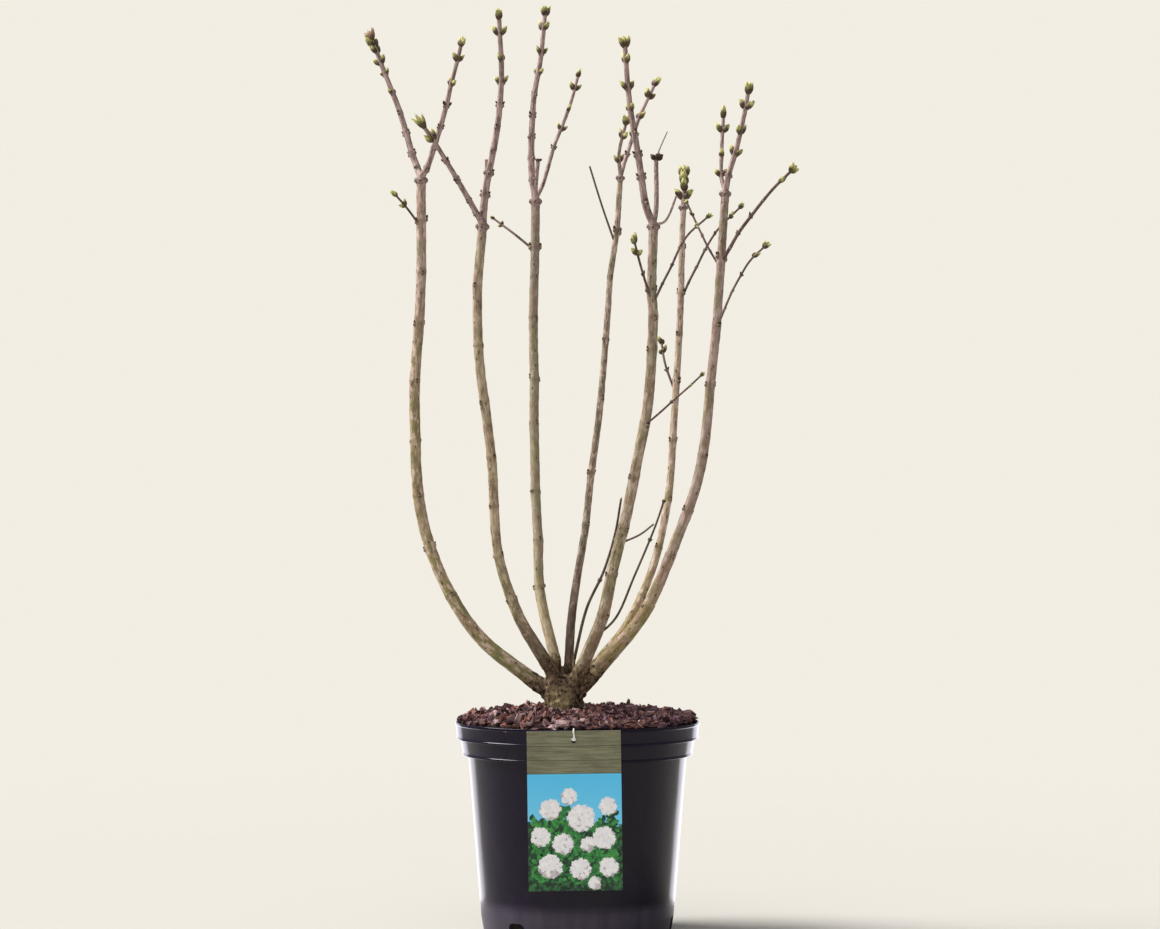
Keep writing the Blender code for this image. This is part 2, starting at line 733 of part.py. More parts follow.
def flatten_foot(trunk):
    """Cuts the trunk flat at the level it stands on."""
    shape = bmesh.new()
    shape.from_mesh(trunk.data)
    level = Vector((0, 0, TRUNK_RINGS[0][0] * MM))
    geometry = shape.verts[:] + shape.edges[:] + shape.faces[:]
    bmesh.ops.bisect_plane(shape, geom=geometry, plane_co=level, plane_no=(0, 0, -1),
                           clear_outer=True, dist=1e-6)
    open_edges = [edge for edge in shape.edges if edge.is_boundary]
    if open_edges:
        bmesh.ops.contextual_create(shape, geom=open_edges)
    bmesh.ops.recalc_face_normals(shape, faces=shape.faces)
    shape.to_mesh(trunk.data)
    shape.free()


def inner_wall(clearance):
    """The pot's inner side as radius and height points, bottom to top, less a clearance."""
    lower_ledge = LOWER_BAND_FOOT + LEDGE_WALL + clearance
    upper_ledge = UPPER_BAND_FOOT + LEDGE_WALL + clearance
    outline = [
        (FOOT_RADIUS, FLOOR_TOP + clearance),
        (BODY_FOOT_RADIUS - FLOOR_ROUND_IN, FLOOR_TOP + FLOOR_ROUND_UP),
        (BODY_FOOT_RADIUS, BODY_FOOT_HEIGHT),
        (BODY_TOP_RADIUS, lower_ledge),
        (LOWER_BAND_RADIUS - BAND_TAPER, lower_ledge + LEDGE),
        (LOWER_BAND_RADIUS, upper_ledge),
        (RIM_RADIUS - BAND_DRAFT, upper_ledge + LEDGE),
        (RIM_RADIUS, POT_HEIGHT - LIP + clearance),
    ]
    return [(radius - WALL - clearance, height) for radius, height in outline]


def build_pot():
    """The pot: a thin turned shell with a two-band rim, drain notches and drain holes."""
    outer = [
        (RIM_RADIUS - LIP, POT_HEIGHT),
        (RIM_RADIUS, POT_HEIGHT - LIP),
        (RIM_RADIUS - BAND_DRAFT, UPPER_BAND_FOOT),
        (LOWER_BAND_RADIUS, UPPER_BAND_FOOT - LEDGE),
        (LOWER_BAND_RADIUS - BAND_TAPER, LOWER_BAND_FOOT),
        (BODY_TOP_RADIUS, LOWER_BAND_FOOT - LEDGE),
        (BODY_FOOT_RADIUS, BODY_FOOT_HEIGHT),
        *HEEL,
        (FOOT_RADIUS, 0.0),
        (STANDING_RING_INNER, 0.0),
        (STANDING_RING_INNER - RECESS_SLOPE, RECESS_HEIGHT),
        (PAD_RADIUS + RECESS_SLOPE, RECESS_HEIGHT),
        (PAD_RADIUS, 0.0),
        (0.0, 0.0),
    ]
    profile = [(0.0, FLOOR_TOP), *inner_wall(0.0), *outer]
    pot = turned("pot", profile, "glossy_pot")
    group = cutter_collection("pot_cutters")
    for index in range(NOTCH_COUNT):
        notch_cutter(group, NOTCH_TURN + index * math.tau / NOTCH_COUNT)
    for index in range(DRAIN_COUNT):
        drain_cutter(group, index * math.tau / DRAIN_COUNT)
    subtracted(pot, group)


def notch_cutter(group, turn):
    """A block with a rounded top that cuts one drain notch, turned about the pot's axis."""
    height = NOTCH_HEIGHT + NOTCH_BELOW
    bpy.ops.mesh.primitive_cube_add(size=1)
    block = bpy.context.object
    block.name = "notch_cutter"
    block.data.transform(Matrix.Diagonal((NOTCH_WIDTH, NOTCH_DEPTH, height, 1.0)))
    shape = bmesh.new()
    shape.from_mesh(block.data)
    upper = [edge for edge in shape.edges
             if all(vert.co.z > 0 for vert in edge.verts)
             and edge.verts[0].co.x * edge.verts[1].co.x > 0]
    bmesh.ops.bevel(shape, geom=upper, offset=NOTCH_CORNER, segments=NOTCH_CORNER_STEPS, profile=0.5,
                    affect="EDGES")
    shape.to_mesh(block.data)
    shape.free()
    middle = NOTCH_INNER + NOTCH_DEPTH / 2
    block.location = (math.sin(turn) * middle, -math.cos(turn) * middle, height / 2 - NOTCH_BELOW)
    block.rotation_euler = (0, 0, turn)
    move_to_cutters(block, group)


def drain_cutter(group, turn):
    """A short rod that cuts one drain hole through the pot's floor."""
    place = (math.sin(turn) * DRAIN_RING, -math.cos(turn) * DRAIN_RING, FLOOR_TOP)
    bpy.ops.mesh.primitive_cylinder_add(vertices=DRAIN_SIDES, radius=DRAIN_RADIUS, depth=DRAIN_CUT,
                                        location=place)
    rod = bpy.context.object
    rod.name = "drain_cutter"
    move_to_cutters(rod, group)


def move_to_cutters(obj, group):
    """Keeps a cutter only in its own collection, as a wire that isn't rendered."""
    for collection in list(obj.users_collection):
        collection.objects.unlink(obj)
    group.objects.link(obj)
    obj.hide_render = True
    obj.display_type = "WIRE"


def build_soil():
    """The compost: a solid fill up to a flat top, just clear of the wall."""
    wall = [point for point in inner_wall(GAP) if point[1] < SOIL_TOP]
    edge_radius = wall[-1][0] + (SOIL_TOP - wall[-1][1]) * SOIL_EDGE_SLOPE
    profile = [(0.0, SOIL_TOP), (edge_radius, SOIL_TOP), *reversed(wall), (0.0, FLOOR_TOP + GAP)]
    turned("potting_soil", profile, "moist_compost")


def build_mulch():
    """The heaped bark mulch: a lumpy dome on the compost, open round the trunk."""
    draw = random.Random(MULCH_SEED)
    foot = SOIL_TOP + GAP
    wall_foot = LOWER_BAND_RADIUS - WALL - MULCH_ROOM
    edge = RIM_RADIUS - WALL - MULCH_ROOM - MULCH_EDGE_ROOM
    profile = [(0.0, MULCH_EDGE_HEIGHT + MULCH_DOME)]
    for ring in range(1, MULCH_RINGS):
        share = ring / MULCH_RINGS
        profile.append((edge * share, MULCH_EDGE_HEIGHT + MULCH_DOME * (1 - share ** MULCH_DOME_POWER)))
    profile.append((edge - MULCH_ROLL, MULCH_EDGE_HEIGHT))
    profile.append((edge, MULCH_EDGE_HEIGHT - MULCH_ROLL))
    profile.append((RIM_RADIUS - BAND_DRAFT - WALL - MULCH_ROOM, UPPER_BAND_FOOT + MULCH_WAIST))
    profile += [(wall_foot, foot), (0.0, foot)]
    mulch = turned("bark_mulch", profile, "bark_chips", MULCH_STEPS)
    for vert in mulch.data.vertices:
        if vert.co.z > MULCH_EDGE_HEIGHT - MULCH_ROLL / 2:
            vert.co.z += draw.uniform(-1, 1) * MULCH_LUMP
    group = cutter_collection("mulch_cutters")
    for piece in stump_pieces(TRUNK_ROOM, CUTTERS):
        stretch_down(piece)
        move_to_cutters(piece, group)
    subtracted(mulch, group)


def stretch_down(piece):
    """Draws a cutter's foot down through the mulch's underside."""
    lowest = min(vert.co.z for vert in piece.data.vertices)
    for vert in piece.data.vertices:
        if vert.co.z < lowest + TRUNK_CUT_GRIP:
            vert.co.z -= TRUNK_CUT_BELOW


def build_label():
    """The label: a thin upright card with a round hole for its tie."""
    curve = bpy.data.curves.new("plant_label", "CURVE")
    curve.dimensions = "2D"
    curve.fill_mode = "BOTH"
    curve.extrude = LABEL_THICKNESS / 2
    corners = [(-0.5, -0.5), (0.5, -0.5), (0.5, 0.5), (-0.5, 0.5)]
    flat_outline(curve, [(LABEL_WIDTH * x, LABEL_HEIGHT * y) for x, y in corners])
    hole_height = LABEL_HEIGHT / 2 - HOLE_DROP
    around = [index * math.tau / HOLE_SIDES for index in range(HOLE_SIDES)]
    flat_outline(curve, [(HOLE_RADIUS * math.cos(turn), hole_height + HOLE_RADIUS * math.sin(turn))
                         for turn in around])
    card = add_part("plant_label", curve, "printed_card")
    card.rotation_euler = (math.pi / 2, LABEL_LEAN, 0)
    card.location = (label_middle(), label_plane(), LABEL_TOP - LABEL_HEIGHT / 2)
    made_mesh(card)


def flat_outline(curve, points):
    """Adds one closed outline to a flat curve."""
    spline = curve.splines.new("POLY")
    spline.points.add(len(points) - 1)
    for station, (x, y) in zip(spline.points, points):
        station.co = (x, y, 0.0, 1.0)
    spline.use_cyclic_u = True


def label_plane():
    """How far in front of the pot's axis the middle of the card's thickness hangs."""
    return -(RIM_RADIUS + GAP + LABEL_THICKNESS / 2)


def label_middle():
    """The card's middle, set so that its hole is under the tie in spite of its lean."""
    return LABEL_MIDDLE - math.sin(LABEL_LEAN) * (LABEL_HEIGHT / 2 - HOLE_DROP)


def build_tie():
    """The white tie: from the card's hole up its face, over the rim and down inside."""
    radius = TIE_DIAMETER / 2
    face = label_plane() - LABEL_THICKNESS / 2
    front = face - GAP - radius
    inside = -(RIM_RADIUS - WALL - GAP * 2 - radius)
    over = POT_HEIGHT + GAP + radius
    hole = LABEL_TOP - HOLE_DROP
    route = [
        (face + TIE_ENTRY, hole),
        (front + TIE_ENTRY * 2, hole + TIE_BEND / 4),
        (front, hole + TIE_BEND),
        (front, over - TIE_BEND),
        (front + TIE_BEND / 2, over),
        (inside - TIE_BEND / 2, over),
        (inside, over - TIE_BEND),
        (inside + BAND_DRAFT, over - TIE_HANG),
    ]
    points = [Vector((LABEL_MIDDLE, y, z)) for y, z in route]
    tube("label_tie", points, [radius] * len(points), "white_tie")


def main():
    """Builds the pot and its filling, the trunk, the stems and the twigs."""
    build_pot()
    build_soil()
    build_mulch()
    build_label()
    build_tie()
    build_trunk()
    for number in STEMS:
        build_stem(number)
        build_top(number)
    for seed, (name, side) in enumerate(SIDES.items()):
        build_side_twig(name, side, SIDE_SEED + seed)
    build_trunk_whip()


main()
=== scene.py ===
"""Looks of a lilac bush in its nursery pot, bare in late winter, as a Blender add-on.

Metres, +Z up, in the frame of the packed part: the origin is the middle of the pot's
underside, -Y is the front with the plant label, and +X is the viewer's right. Routes of the
limbs are measured in millimetres in the upright plane through the pot's axis, as seen from
EYE, and a point that lies nearer or farther keeps the outline seen from there.
"""
import math
import random

import bpy
import numpy as np
from bpy.props import FloatProperty, FloatVectorProperty, IntProperty, PointerProperty
from mathutils import Matrix, Vector


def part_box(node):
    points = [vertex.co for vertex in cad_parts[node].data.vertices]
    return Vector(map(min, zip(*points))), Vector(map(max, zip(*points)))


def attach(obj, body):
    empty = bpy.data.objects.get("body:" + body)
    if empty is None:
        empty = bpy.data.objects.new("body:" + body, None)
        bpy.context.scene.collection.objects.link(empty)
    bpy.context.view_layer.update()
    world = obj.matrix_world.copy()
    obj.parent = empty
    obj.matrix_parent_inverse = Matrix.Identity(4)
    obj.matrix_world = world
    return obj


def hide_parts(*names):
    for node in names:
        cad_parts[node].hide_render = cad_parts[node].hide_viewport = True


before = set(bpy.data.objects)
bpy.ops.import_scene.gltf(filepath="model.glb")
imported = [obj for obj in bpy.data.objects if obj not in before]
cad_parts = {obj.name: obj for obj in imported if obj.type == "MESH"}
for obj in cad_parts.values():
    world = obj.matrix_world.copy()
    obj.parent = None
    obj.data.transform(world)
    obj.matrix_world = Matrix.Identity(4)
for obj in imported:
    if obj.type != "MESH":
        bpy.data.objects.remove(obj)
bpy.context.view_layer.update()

bl_info = {
    "name": "Potted lilac bush",
    "version": (1, 0, 0),
    "blender": (4, 5, 0),
    "location": "3D View > Sidebar > Lilac",
    "description": "Bark, buds, mulch, pot, label and studio for a bare potted lilac",
    "category": "Object",
}

MM = 0.001
GAP = 0.3 * MM
BODY = "root"

# Places read from the frame
_, POT_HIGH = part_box("pot")
_, SOIL_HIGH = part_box("potting_soil")
CARD_LOW, CARD_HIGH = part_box("plant_label")
TRUNK_LOW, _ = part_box("trunk")
RIM_RADIUS = POT_HIGH.x
POT_HEIGHT = POT_HIGH.z
SOIL_TOP = SOIL_HIGH.z

# Camera, which stands where the routes are seen from
EYE = Vector((2.9 * MM, -3930 * MM, 535.6 * MM))
LENS = 106.5
SENSOR = 36.0

# Light, in degrees: round from the front towards the viewer's right, upwards, and its softness
KEY_FROM = (-101, 45)
KEY_SOFTNESS = 30
FILL_FROM = (-30, 46)
FILL_SOFTNESS = 70
AIR_COLOUR = (0.94, 0.95, 1.0, 1.0)

# Panels that the pot's sides mirror: their direction in degrees, and the right one's share
PANEL_FROM = 143
PANEL_AWAY = 0.27
PANEL_SIZE = (0.25, 0.26)
PANEL_COLOUR = (0.9, 0.87, 1.0)
RIGHT_PANEL = 1.15

# Floor: where it starts to fade, and where it is gone
FLOOR_FADE = (0.8, 2.2)

# Pot
UPPER_BAND_FOOT = 222.8 * MM
LOWER_BAND_FOOT = 204.4 * MM
LOWER_BAND_RADIUS = 134.2 * MM
BAND_DRAFT = 2.2 * MM
BAND_TAPER = 3 * MM
BODY_TOP_RADIUS = 124.8 * MM
BODY_FOOT_RADIUS = 110.2 * MM
BODY_FOOT_HEIGHT = 21 * MM
FOOT_RADIUS = 103.5 * MM
HEEL = (107.6 * MM, 5 * MM)
WALL = 2.1 * MM
FLOOR_TOP = 5.6 * MM
RECESS_HEIGHT = 3.5 * MM
RECESS_SLOPE = 2 * MM
STANDING_RING_INNER = 88 * MM
PAD_RADIUS = 30 * MM
BEAD = 0.7 * MM
NOTCH_WIDTH = 22.4 * MM
NOTCH_HEIGHT = 21 * MM
NOTCH_CORNER = 6 * MM
NOTCH_INNER = 99 * MM
NOTCH_COUNT = 3
NOTCH_TURN = math.radians(-38.8)
DRAIN_RADIUS = 6 * MM
DRAIN_RING = 60 * MM
DRAIN_COUNT = 6
CORNER_STEPS = 5

# Mulch: lengths and rises of the chips are least, most and likeliest, and tilts are in degrees
MULCH_EDGE_HEIGHT = 246.6 * MM
MULCH_DOME = 8.4 * MM
MULCH_DOME_POWER = 2.2
MULCH_EDGE = 134.7 * MM
BED_SUNK = 3.5 * MM
BED_RINGS = 22
BED_EDGE_DROPS = (4, 8, 12, 16)
BED_EDGE_DRAFT = 0.12
BED_FOOT_ROOM = 2.6 * MM
CHIP_SEED = 52
CHIP_SHAPES = 8
CHIP_LENGTHS = (0.35, 1.9, 0.7)
CHIP_WIDTHS = (0.75, 1.25)
CHIP_THICKNESSES = (0.8, 1.4)
CHIP_RISES = (-2.5, 5.5, -0.8)
CHIP_SUNK = 2.6 * MM
CHIP_TILT = 38
CHIP_TILT_AT_RIM = 16
CHIP_ROLL = 26
CHIP_RIM_ROOM = 12 * MM
CHIP_TRUNK_ROOM = 25 * MM
PLUM_SIDE = 0.03
PLUM_SHARE = 0.28

# Trunk: its rings, its flare and its cut are in millimetres
TRUNK_ACROSS = -16.5 * MM
TRUNK_RINGS = ((221.3, 25.5), (232, 24.2), (248, 22.4), (264, 21.6), (276, 20), (287, 16.5), (295, 9))
ROOT_FLARE_FOOT = (-36, 221.3)
ROOT_FLARE_TOP = (-24, 262)
ROOT_FLARE_DEPTH = 4
ROOT_FLARE_RADIUS = 9.5
ROOT_FLARE_TAPER = 3.5
ROOT_FLARE_STEPS = 10
STUMP_STATIONS = 30
COLLAR_SHARES = (0, 0.5, 0.85, 1)
COLLAR_SWELLS = (0.85, 1.3, 1.12, 0.98)
COLLAR_FOOT = 234 * MM
COLLAR_LOW = 268 * MM
COLLAR_REACH = 14.5 * MM
COLLAR_START = 3
COLLAR_KNEE = 0.6
COLLAR_RUN = 5
YOUNG_FROM = 0.5
YOUNG_RUN = 0.45
YOUNG_REACH = 3 * MM
ROUGH_LEVEL = 272 * MM
ROUGH_FADE = 44 * MM
ROUGH_REACH = 26 * MM
ROUGH_RUNOUT = 22 * MM
ROUGH_LEAST = 0.12
CUT_AT = (17.6, 299.6, 12.4)
CUT_FACING = (-0.4, -0.75, 0.5)
CUT_RINGS = ((-4, 3.6), (-1, 3.8), (0.6, 3.9), (1.6, 3.4), (2.1, 2.4))

# Label, in millimetres: its rules, its leaves by kind, number and greatest size, its hedge, and
# where each head of blossom stands and how large it is
LABEL_SEED = 9
RULE_LIFTS = (0, 14.6, 30.4)
RULE_THICKNESS = 0.7 * MM
RULE_PROUD = 0.01 * MM
LABEL_LEAVES = (("label_leaves_dark", 420, 12), ("label_leaves", 330, 11))
HEDGE_HEIGHT = 84
HEDGE_WAVE = 9
HEDGE_FALL = 6
PETALS = 5
PETAL_SIZES = (2.2, 3.2)
HEAD_DENSITY = 0.42
HEAD_FILL = 0.86
HEAD_TURN = 2.4
LABEL_HEADS = ((-27, 90, 12), (7, 80, 16), (37, 93, 10), (-38, 60, 11), (-13, 52, 12), (32, 58, 13),
               (-28, 27, 14), (6, 24, 12), (37, 26, 11), (-6, 104, 9), (14, 51, 8), (21, 8, 7))

# Tie
TIE_RADIUS = 0.9 * MM
TIE_STATIONS = 70
KNOT_RADIUS = 0.55 * MM
KNOT_STEPS = 40
KNOT_TURNS = 2.25
KNOT_WIDTH = 2

# Growth: the sizes of joints, their buds and cushions are in millimetres
SPAN_STEPS = 16
TURN_SHIFT = 52
STEM_KINK = 2.2 * MM
SHOOT_KINK = 0.6 * MM
WAIST = 0.3
FOOT_TAPER = 1.5
SWING_POWER = 2.2
FIRST_DEPTH = 0.35
STUB_LENGTH = 1.6
STUB_FORK = 0.6
BUD_PROUD = 0.24
BUD_LEANS = (0.75, 1.15)
BUD_LENGTHS = (1.25, 1.6)
BUD_WIDTHS = (0.62, 0.78)
BUD_SHRINK = 0.8
BUD_FULLER = (1.0, 1.25, 1.4, 1.3, 1.0)
BUD_LEAST = 0.5
BUD_SPACING = 17 * MM
BUD_CROWDING = 1.7
BUD_SPREAD = 50 * MM
TIP_ROOM = 1.5 * MM
ROOT_ROOM = 9 * MM
END_BUD_LENGTH = 1.3
END_BUD_WIDTH = 0.6
END_BUD_SPAN = 30 * MM
TIP_BUD_LEAN = 1.1
SIDE_BUD_LEAN = 0.35
TIP_BUD_OUT = 0.5
SIDE_BUD_OUT = 0.95
TIP_BUD_LONGER = 1.1
TIP_BUD_NARROWER = 0.88
BUD_SUNK = 0.1
BUD_SHOWN = 0.86
SHUT_BUD_SHARE = 0.85
SHUT_BUD_SIZE = 0.66
SMALL_BUD_SIZE = 0.45
SCALE_WRAP = 84
SCALE_THICKNESS = 0.06
CUSHION_GIRTH = 1.35
CUSHION_LEAST = 2.0 * MM
CUSHION_DROP = 0.35
TAIL_DROP = 1.8
TAIL_SPREAD = 3.2
TAIL_SHARE = 0.45
NEAR_SPREAD = 0.75
ROOT_SWELL = 0.16
ROOT_RUNOUT = 3 * MM
STEM_SUNK = 5 * MM
JOINT_SIZES = (3.3, 4.7)
JOINT_SLIP = 1.8
JOINT_BUD_SHARE = 0.8
JOINT_BUD_LEANS = (1.1, 2.2)
JOINT_BUD_WIDTHS = (2.0, 2.8)
JOINT_BUD_LENGTHS = (2.8, 4.0)
STOUT_JOINT = 1.4
STOUT_REACH = 18
STOUT_SHOOT = 1.75 * MM
RING_TURNS = (0.2, 1.7, 3.3, 4.8)
HEAD_BUDS = 5
KNOB_RINGS = ((-0.6, 0.96, 0.0), (0.0, 1.02, 0.1), (0.3, 1.2, 0.4), (0.55, 1.26, 0.6),
              (0.75, 1.12, 0.5), (0.92, 0.8, 0.5), (1.05, 0.35, 0.5))
KNOB_CUSHIONS = ((0.15, 5.4), (math.pi + 0.2, 5.8), (1.5, 4.6), (-1.7, 4.4))
KINK_SEED = 300
STEM_SEED = 200
TOP_SEED = 100
SIDE_SEED = 40
WHIP_SEED = 7


def colour(red, green, blue):
    """A screen colour, 0 to 255, as the linear colour that a shader takes."""
    return tuple((channel / 255) ** 2.2 for channel in (red, green, blue)) + (1.0,)


class Stem:
    """One upright stem, with the colours of its bark from the foot to the fork.

    route holds across and height in millimetres, depths are the depths of its foot and top,
    thicknesses are diameters at the foot, the waist and the fork, joints are the heights of
    its leaf joints as seen from EYE, and turn is the way its top pair of buds faces.
    """

    def __init__(self, number, route, depths, thicknesses, joints, turn, low, middle, high):
        self.number = number
        self.name = f"stem_{number}"
        self.route = route
        self.foot_depth, self.top_depth = depths
        self.thicknesses = thicknesses
        self.joints = joints
        self.turn = math.radians(turn - TURN_SHIFT)
        self.bark = (low, middle, high)


# How pale each stem's foot is, and how far up its dark part reaches where that is not DARK_FOOT
DARK_FOOT = 60 * MM
PALENESS = {1: 0.75, 2: 0.2, 3: 0.8, 4: 0.1, 5: 0.95, 6: 0.9, 7: 0.9}
DARK_FEET = {4: 240 * MM}
STEMS = {
    1: Stem(1, [(-56, 292), (-110, 336), (-149, 394), (-178, 480), (-185, 592), (-181, 722), (-179, 858)],
            (0, 8), (17, 13, 10.6), (813, 750, 692, 625, 558, 498, 440, 384), 80,
            (160, 153, 104), (171, 153, 116), (204, 176, 164)),
    2: Stem(2, [(-36, 309), (-69, 365), (-89, 431), (-99, 537), (-113, 649), (-114, 720), (-109, 805)],
            (12, 118), (15.6, 11, 10.4), (738, 671, 606, 541, 484, 430, 378), 100,
            (132, 118, 98), (190, 170, 138), (184, 165, 140)),
    3: Stem(3, [(-26, 315), (-40, 378), (-46, 435), (-49, 561), (-51, 677), (-49, 780), (-48, 834)],
            (-12, -112), (12.8, 11.2, 10.4), (781, 699, 633, 581, 500, 446, 392), 75,
            (200, 181, 142), (162, 150, 122), (158, 140, 131)),
    4: Stem(4, [(-10, 308), (-7, 363), (8, 466), (25, 587), (36, 709), (43, 799), (49, 862)],
            (-16, -135), (11, 8.6, 6.6), (800, 746, 677, 604, 520, 460), 90,
            (108, 95, 85), (146, 134, 112), (194, 172, 155)),
    5: Stem(5, [(6, 305), (29, 364), (48, 445), (61, 503), (70, 551), (79, 600), (85, 712), (87, 805)],
            (13, 112), (15.6, 12.6, 10.2), (731, 703, 665, 583, 520, 462, 406, 360), 85,
            (148, 134, 104), (166, 150, 120), (182, 164, 148)),
    6: Stem(6, [(22, 309), (56, 350), (87, 416), (104, 495), (109, 587), (116, 709), (121, 828)],
            (-14, -92), (10.8, 9, 7), (782, 730, 682, 628, 558, 494, 436, 384), 95,
            (178, 158, 102), (196, 172, 146), (206, 182, 170)),
    7: Stem(7, [(24, 302), (74, 363), (116, 455), (142, 532), (156, 660), (163, 773), (169, 843)],
            (4, 42), (17, 12.4, 9.2), (773, 694, 620, 546, 482, 426, 370), 80,
            (172, 154, 94), (174, 152, 138), (176, 153, 145)),
}


class Shoot:
    """A twig or shoot: its route after the point it leaves, its depth and thickness.

    ends is the thickness at its root and its tip. buds is the size of its tip buds in
    millimetres, 0 on dead wood. fullness is the share of its joints that carry buds. head is
    the size of the dark remains of buds round a dead end. live is how many pairs have swollen,
    tall stretches the buds at its tip, crowded puts in more pairs below the tip, ruddy makes
    its tip buds brown, and knobs are the shares of its length where a ring of bark stands out.
    """

    def __init__(self, route, tip_depth, ends, buds=0.0, fullness=1.0, head=0.0, live=4, tall=1.0,
                 crowded=False, ruddy=False, knobs=()):
        self.route = route
        self.tip_depth = tip_depth
        self.ends = ends
        self.buds = buds
        self.fullness = fullness
        self.head = head
        self.live = live
        self.tall = tall
        self.crowded = crowded
        self.ruddy = ruddy
        self.knobs = knobs


TOPS = {
    1: [Shoot([(-186, 882), (-208, 952), (-237, 1025)], -38, (8, 4.6), 9,
              live=6, crowded=True, ruddy=True),
        Shoot([(-171, 880), (-154, 934), (-133, 1018)], 46, (7.2, 4.2), 8.5, live=3, tall=0.95)],
    2: [Shoot([(-105, 852), (-93, 912), (-87, 970), (-90, 1049)], 138, (8.6, 5), 9, knobs=(0.25,)),
        Shoot([(-117, 826), (-150, 883), (-177, 924)], 168, (7, 4.4), 10, live=2, tall=1.6),
        Shoot([(-104, 866), (-104, 885)], 124, (5, 4.4))],
    3: [Shoot([(-53, 873), (-51, 945), (-43, 996), (-37, 1053)], -120, (8.4, 4.8), 9.5),
        Shoot([(-40, 856), (-25, 904), (-9, 945), (1, 982)], -166, (5, 3.8), 8),
        Shoot([(-47, 862), (-45, 886)], -108, (4.2, 5), head=4.2)],
    4: [Shoot([(48, 892), (56, 928)], -118, (4.6, 3.6), 9),
        Shoot([(56, 890), (71, 932), (89, 972)], -176, (5, 4), 9.5)],
    5: [Shoot([(80, 828), (70, 884), (58, 965), (54, 1017)], 130, (8.6, 5.2), 9.5),
        Shoot([(90, 828), (90, 888)], 98, (5.6, 5), head=8.6),
        Shoot([(90, 828), (90, 884), (95, 899), (103, 917)], 92, (2.2, 1.4)),
        Shoot([(100, 814), (115, 847)], 134, (3, 2.2), head=4.5)],
    6: [Shoot([(122, 848), (122, 869)], -100, (5.6, 4.4), 11, crowded=True)],
    7: [Shoot([(165, 864), (165, 900), (167, 936)], 22, (4.8, 4), 9.5),
        Shoot([(173, 866), (186, 914), (196, 964)], 64, (6.8, 4.6), 10.5)],
}


class Side:
    """A twig on the side of a stem: the stem, the height it leaves at, and its shoot."""

    def __init__(self, stem, height, shoot):
        self.stem = stem
        self.height = height
        self.shoot = shoot
        shoot.live = min(shoot.live, 2)


SIDES = {
    "stem_1_side_twig": Side(1, 806, Shoot([(-195, 829), (-209, 845)], 26, (2.8, 2.4), 7)),
    "stem_3_side_twig": Side(3, 776, Shoot([(-73, 800), (-97, 818)], -150, (3.2, 2.4), 5)),
    "stem_4_dead_twig": Side(4, 787, Shoot([(28, 832), (14, 877)], -98, (2.6, 2.2))),
    "stem_5_left_twig": Side(5, 717, Shoot([(74, 756), (65, 792)], 152, (2.8, 2.6), 8.5)),
    "stem_5_right_twig": Side(5, 718, Shoot([(104, 756), (125, 797), (150, 820)], 158, (2.8, 2.4), 5)),
    "stem_5_low_twig": Side(5, 578, Shoot([(97, 597), (143, 639)], 122, (2.4, 2.2), 4)),
    "stem_5_whip": Side(5, 335, Shoot([(43, 359), (65, 408), (90, 468), (99, 494)], 24,
                                      (2.9, 2.3), 3.5, 0.5)),
    "stem_5_strut": Side(5, 442, Shoot([(71, 455), (87, 467)], 44, (2.4, 2.2))),
    "stem_6_left_twig": Side(6, 613, Shoot([(100, 652), (96, 676)], -122, (2.8, 2.6), 8)),
    "stem_6_right_twig": Side(6, 722, Shoot([(134, 757), (161, 805), (187, 831)], -138, (3, 2.4), 6)),
    "stem_7_left_twig": Side(7, 760, Shoot([(146, 791), (125, 836)], 6, (2.6, 2.4), 4)),
    "stem_7_right_twig": Side(7, 762, Shoot([(185, 801), (219, 846), (246, 873)], 98, (4.2, 3.2), 8)),
    "stem_7_low_twig": Side(7, 686, Shoot([(169, 716), (194, 764), (215, 786)], -14, (2.8, 2.4), 7)),
}

WHIP_FOOT = (-3, 316)
WHIP_DEPTH = 2
WHIP_SUNK = 3 * MM
WHIP = Shoot([(11, 372), (30, 413), (43, 455), (50, 496)], 16, (3.8, 2.6), 3, 0.5)


class LilacStageSettings(bpy.types.PropertyGroup):
    """Studio round the plant."""

    backdrop: FloatVectorProperty(name="Backdrop", description="Colour of the air behind the plant",
                                  default=colour(242, 237, 226)[:3], size=3, subtype="COLOR", min=0, max=1)
    ambient: FloatProperty(name="Ambient", description="Strength of the light from all round",
                           default=0.34, min=0, max=3)
    key: FloatProperty(name="Key", description="Strength of the soft light from the left",
                       default=4.7, min=0, max=20)
    fill: FloatProperty(name="Fill", description="Strength of the soft light from the front",
                        default=0.8, min=0, max=20)
    rim: FloatProperty(name="Side panels", description="Strength of the panels mirrored by the pot's sides",
                       default=0.42, min=0, max=500, subtype="POWER")


class LilacPotSettings(bpy.types.PropertyGroup):
    """Pot and its filling."""

    steps: IntProperty(name="Steps", description="Faces round the pot", default=160, min=32, max=256)
    plastic: FloatVectorProperty(name="Plastic", description="Colour of the pot",
                                 default=colour(25, 17, 36)[:3], size=3, subtype="COLOR", min=0, max=1)
    gloss: FloatProperty(name="Roughness", description="Roughness of the pot's surface",
                         default=0.16, min=0, max=1, subtype="FACTOR")
    chips: IntProperty(name="Bark chips", description="How many chips lie on the mulch",
                       default=3600, min=100, max=6000)
    chip_length: FloatProperty(name="Chip length", description="Typical length of a bark chip",
                               default=9.0 * MM, min=2 * MM, max=40 * MM, unit="LENGTH")


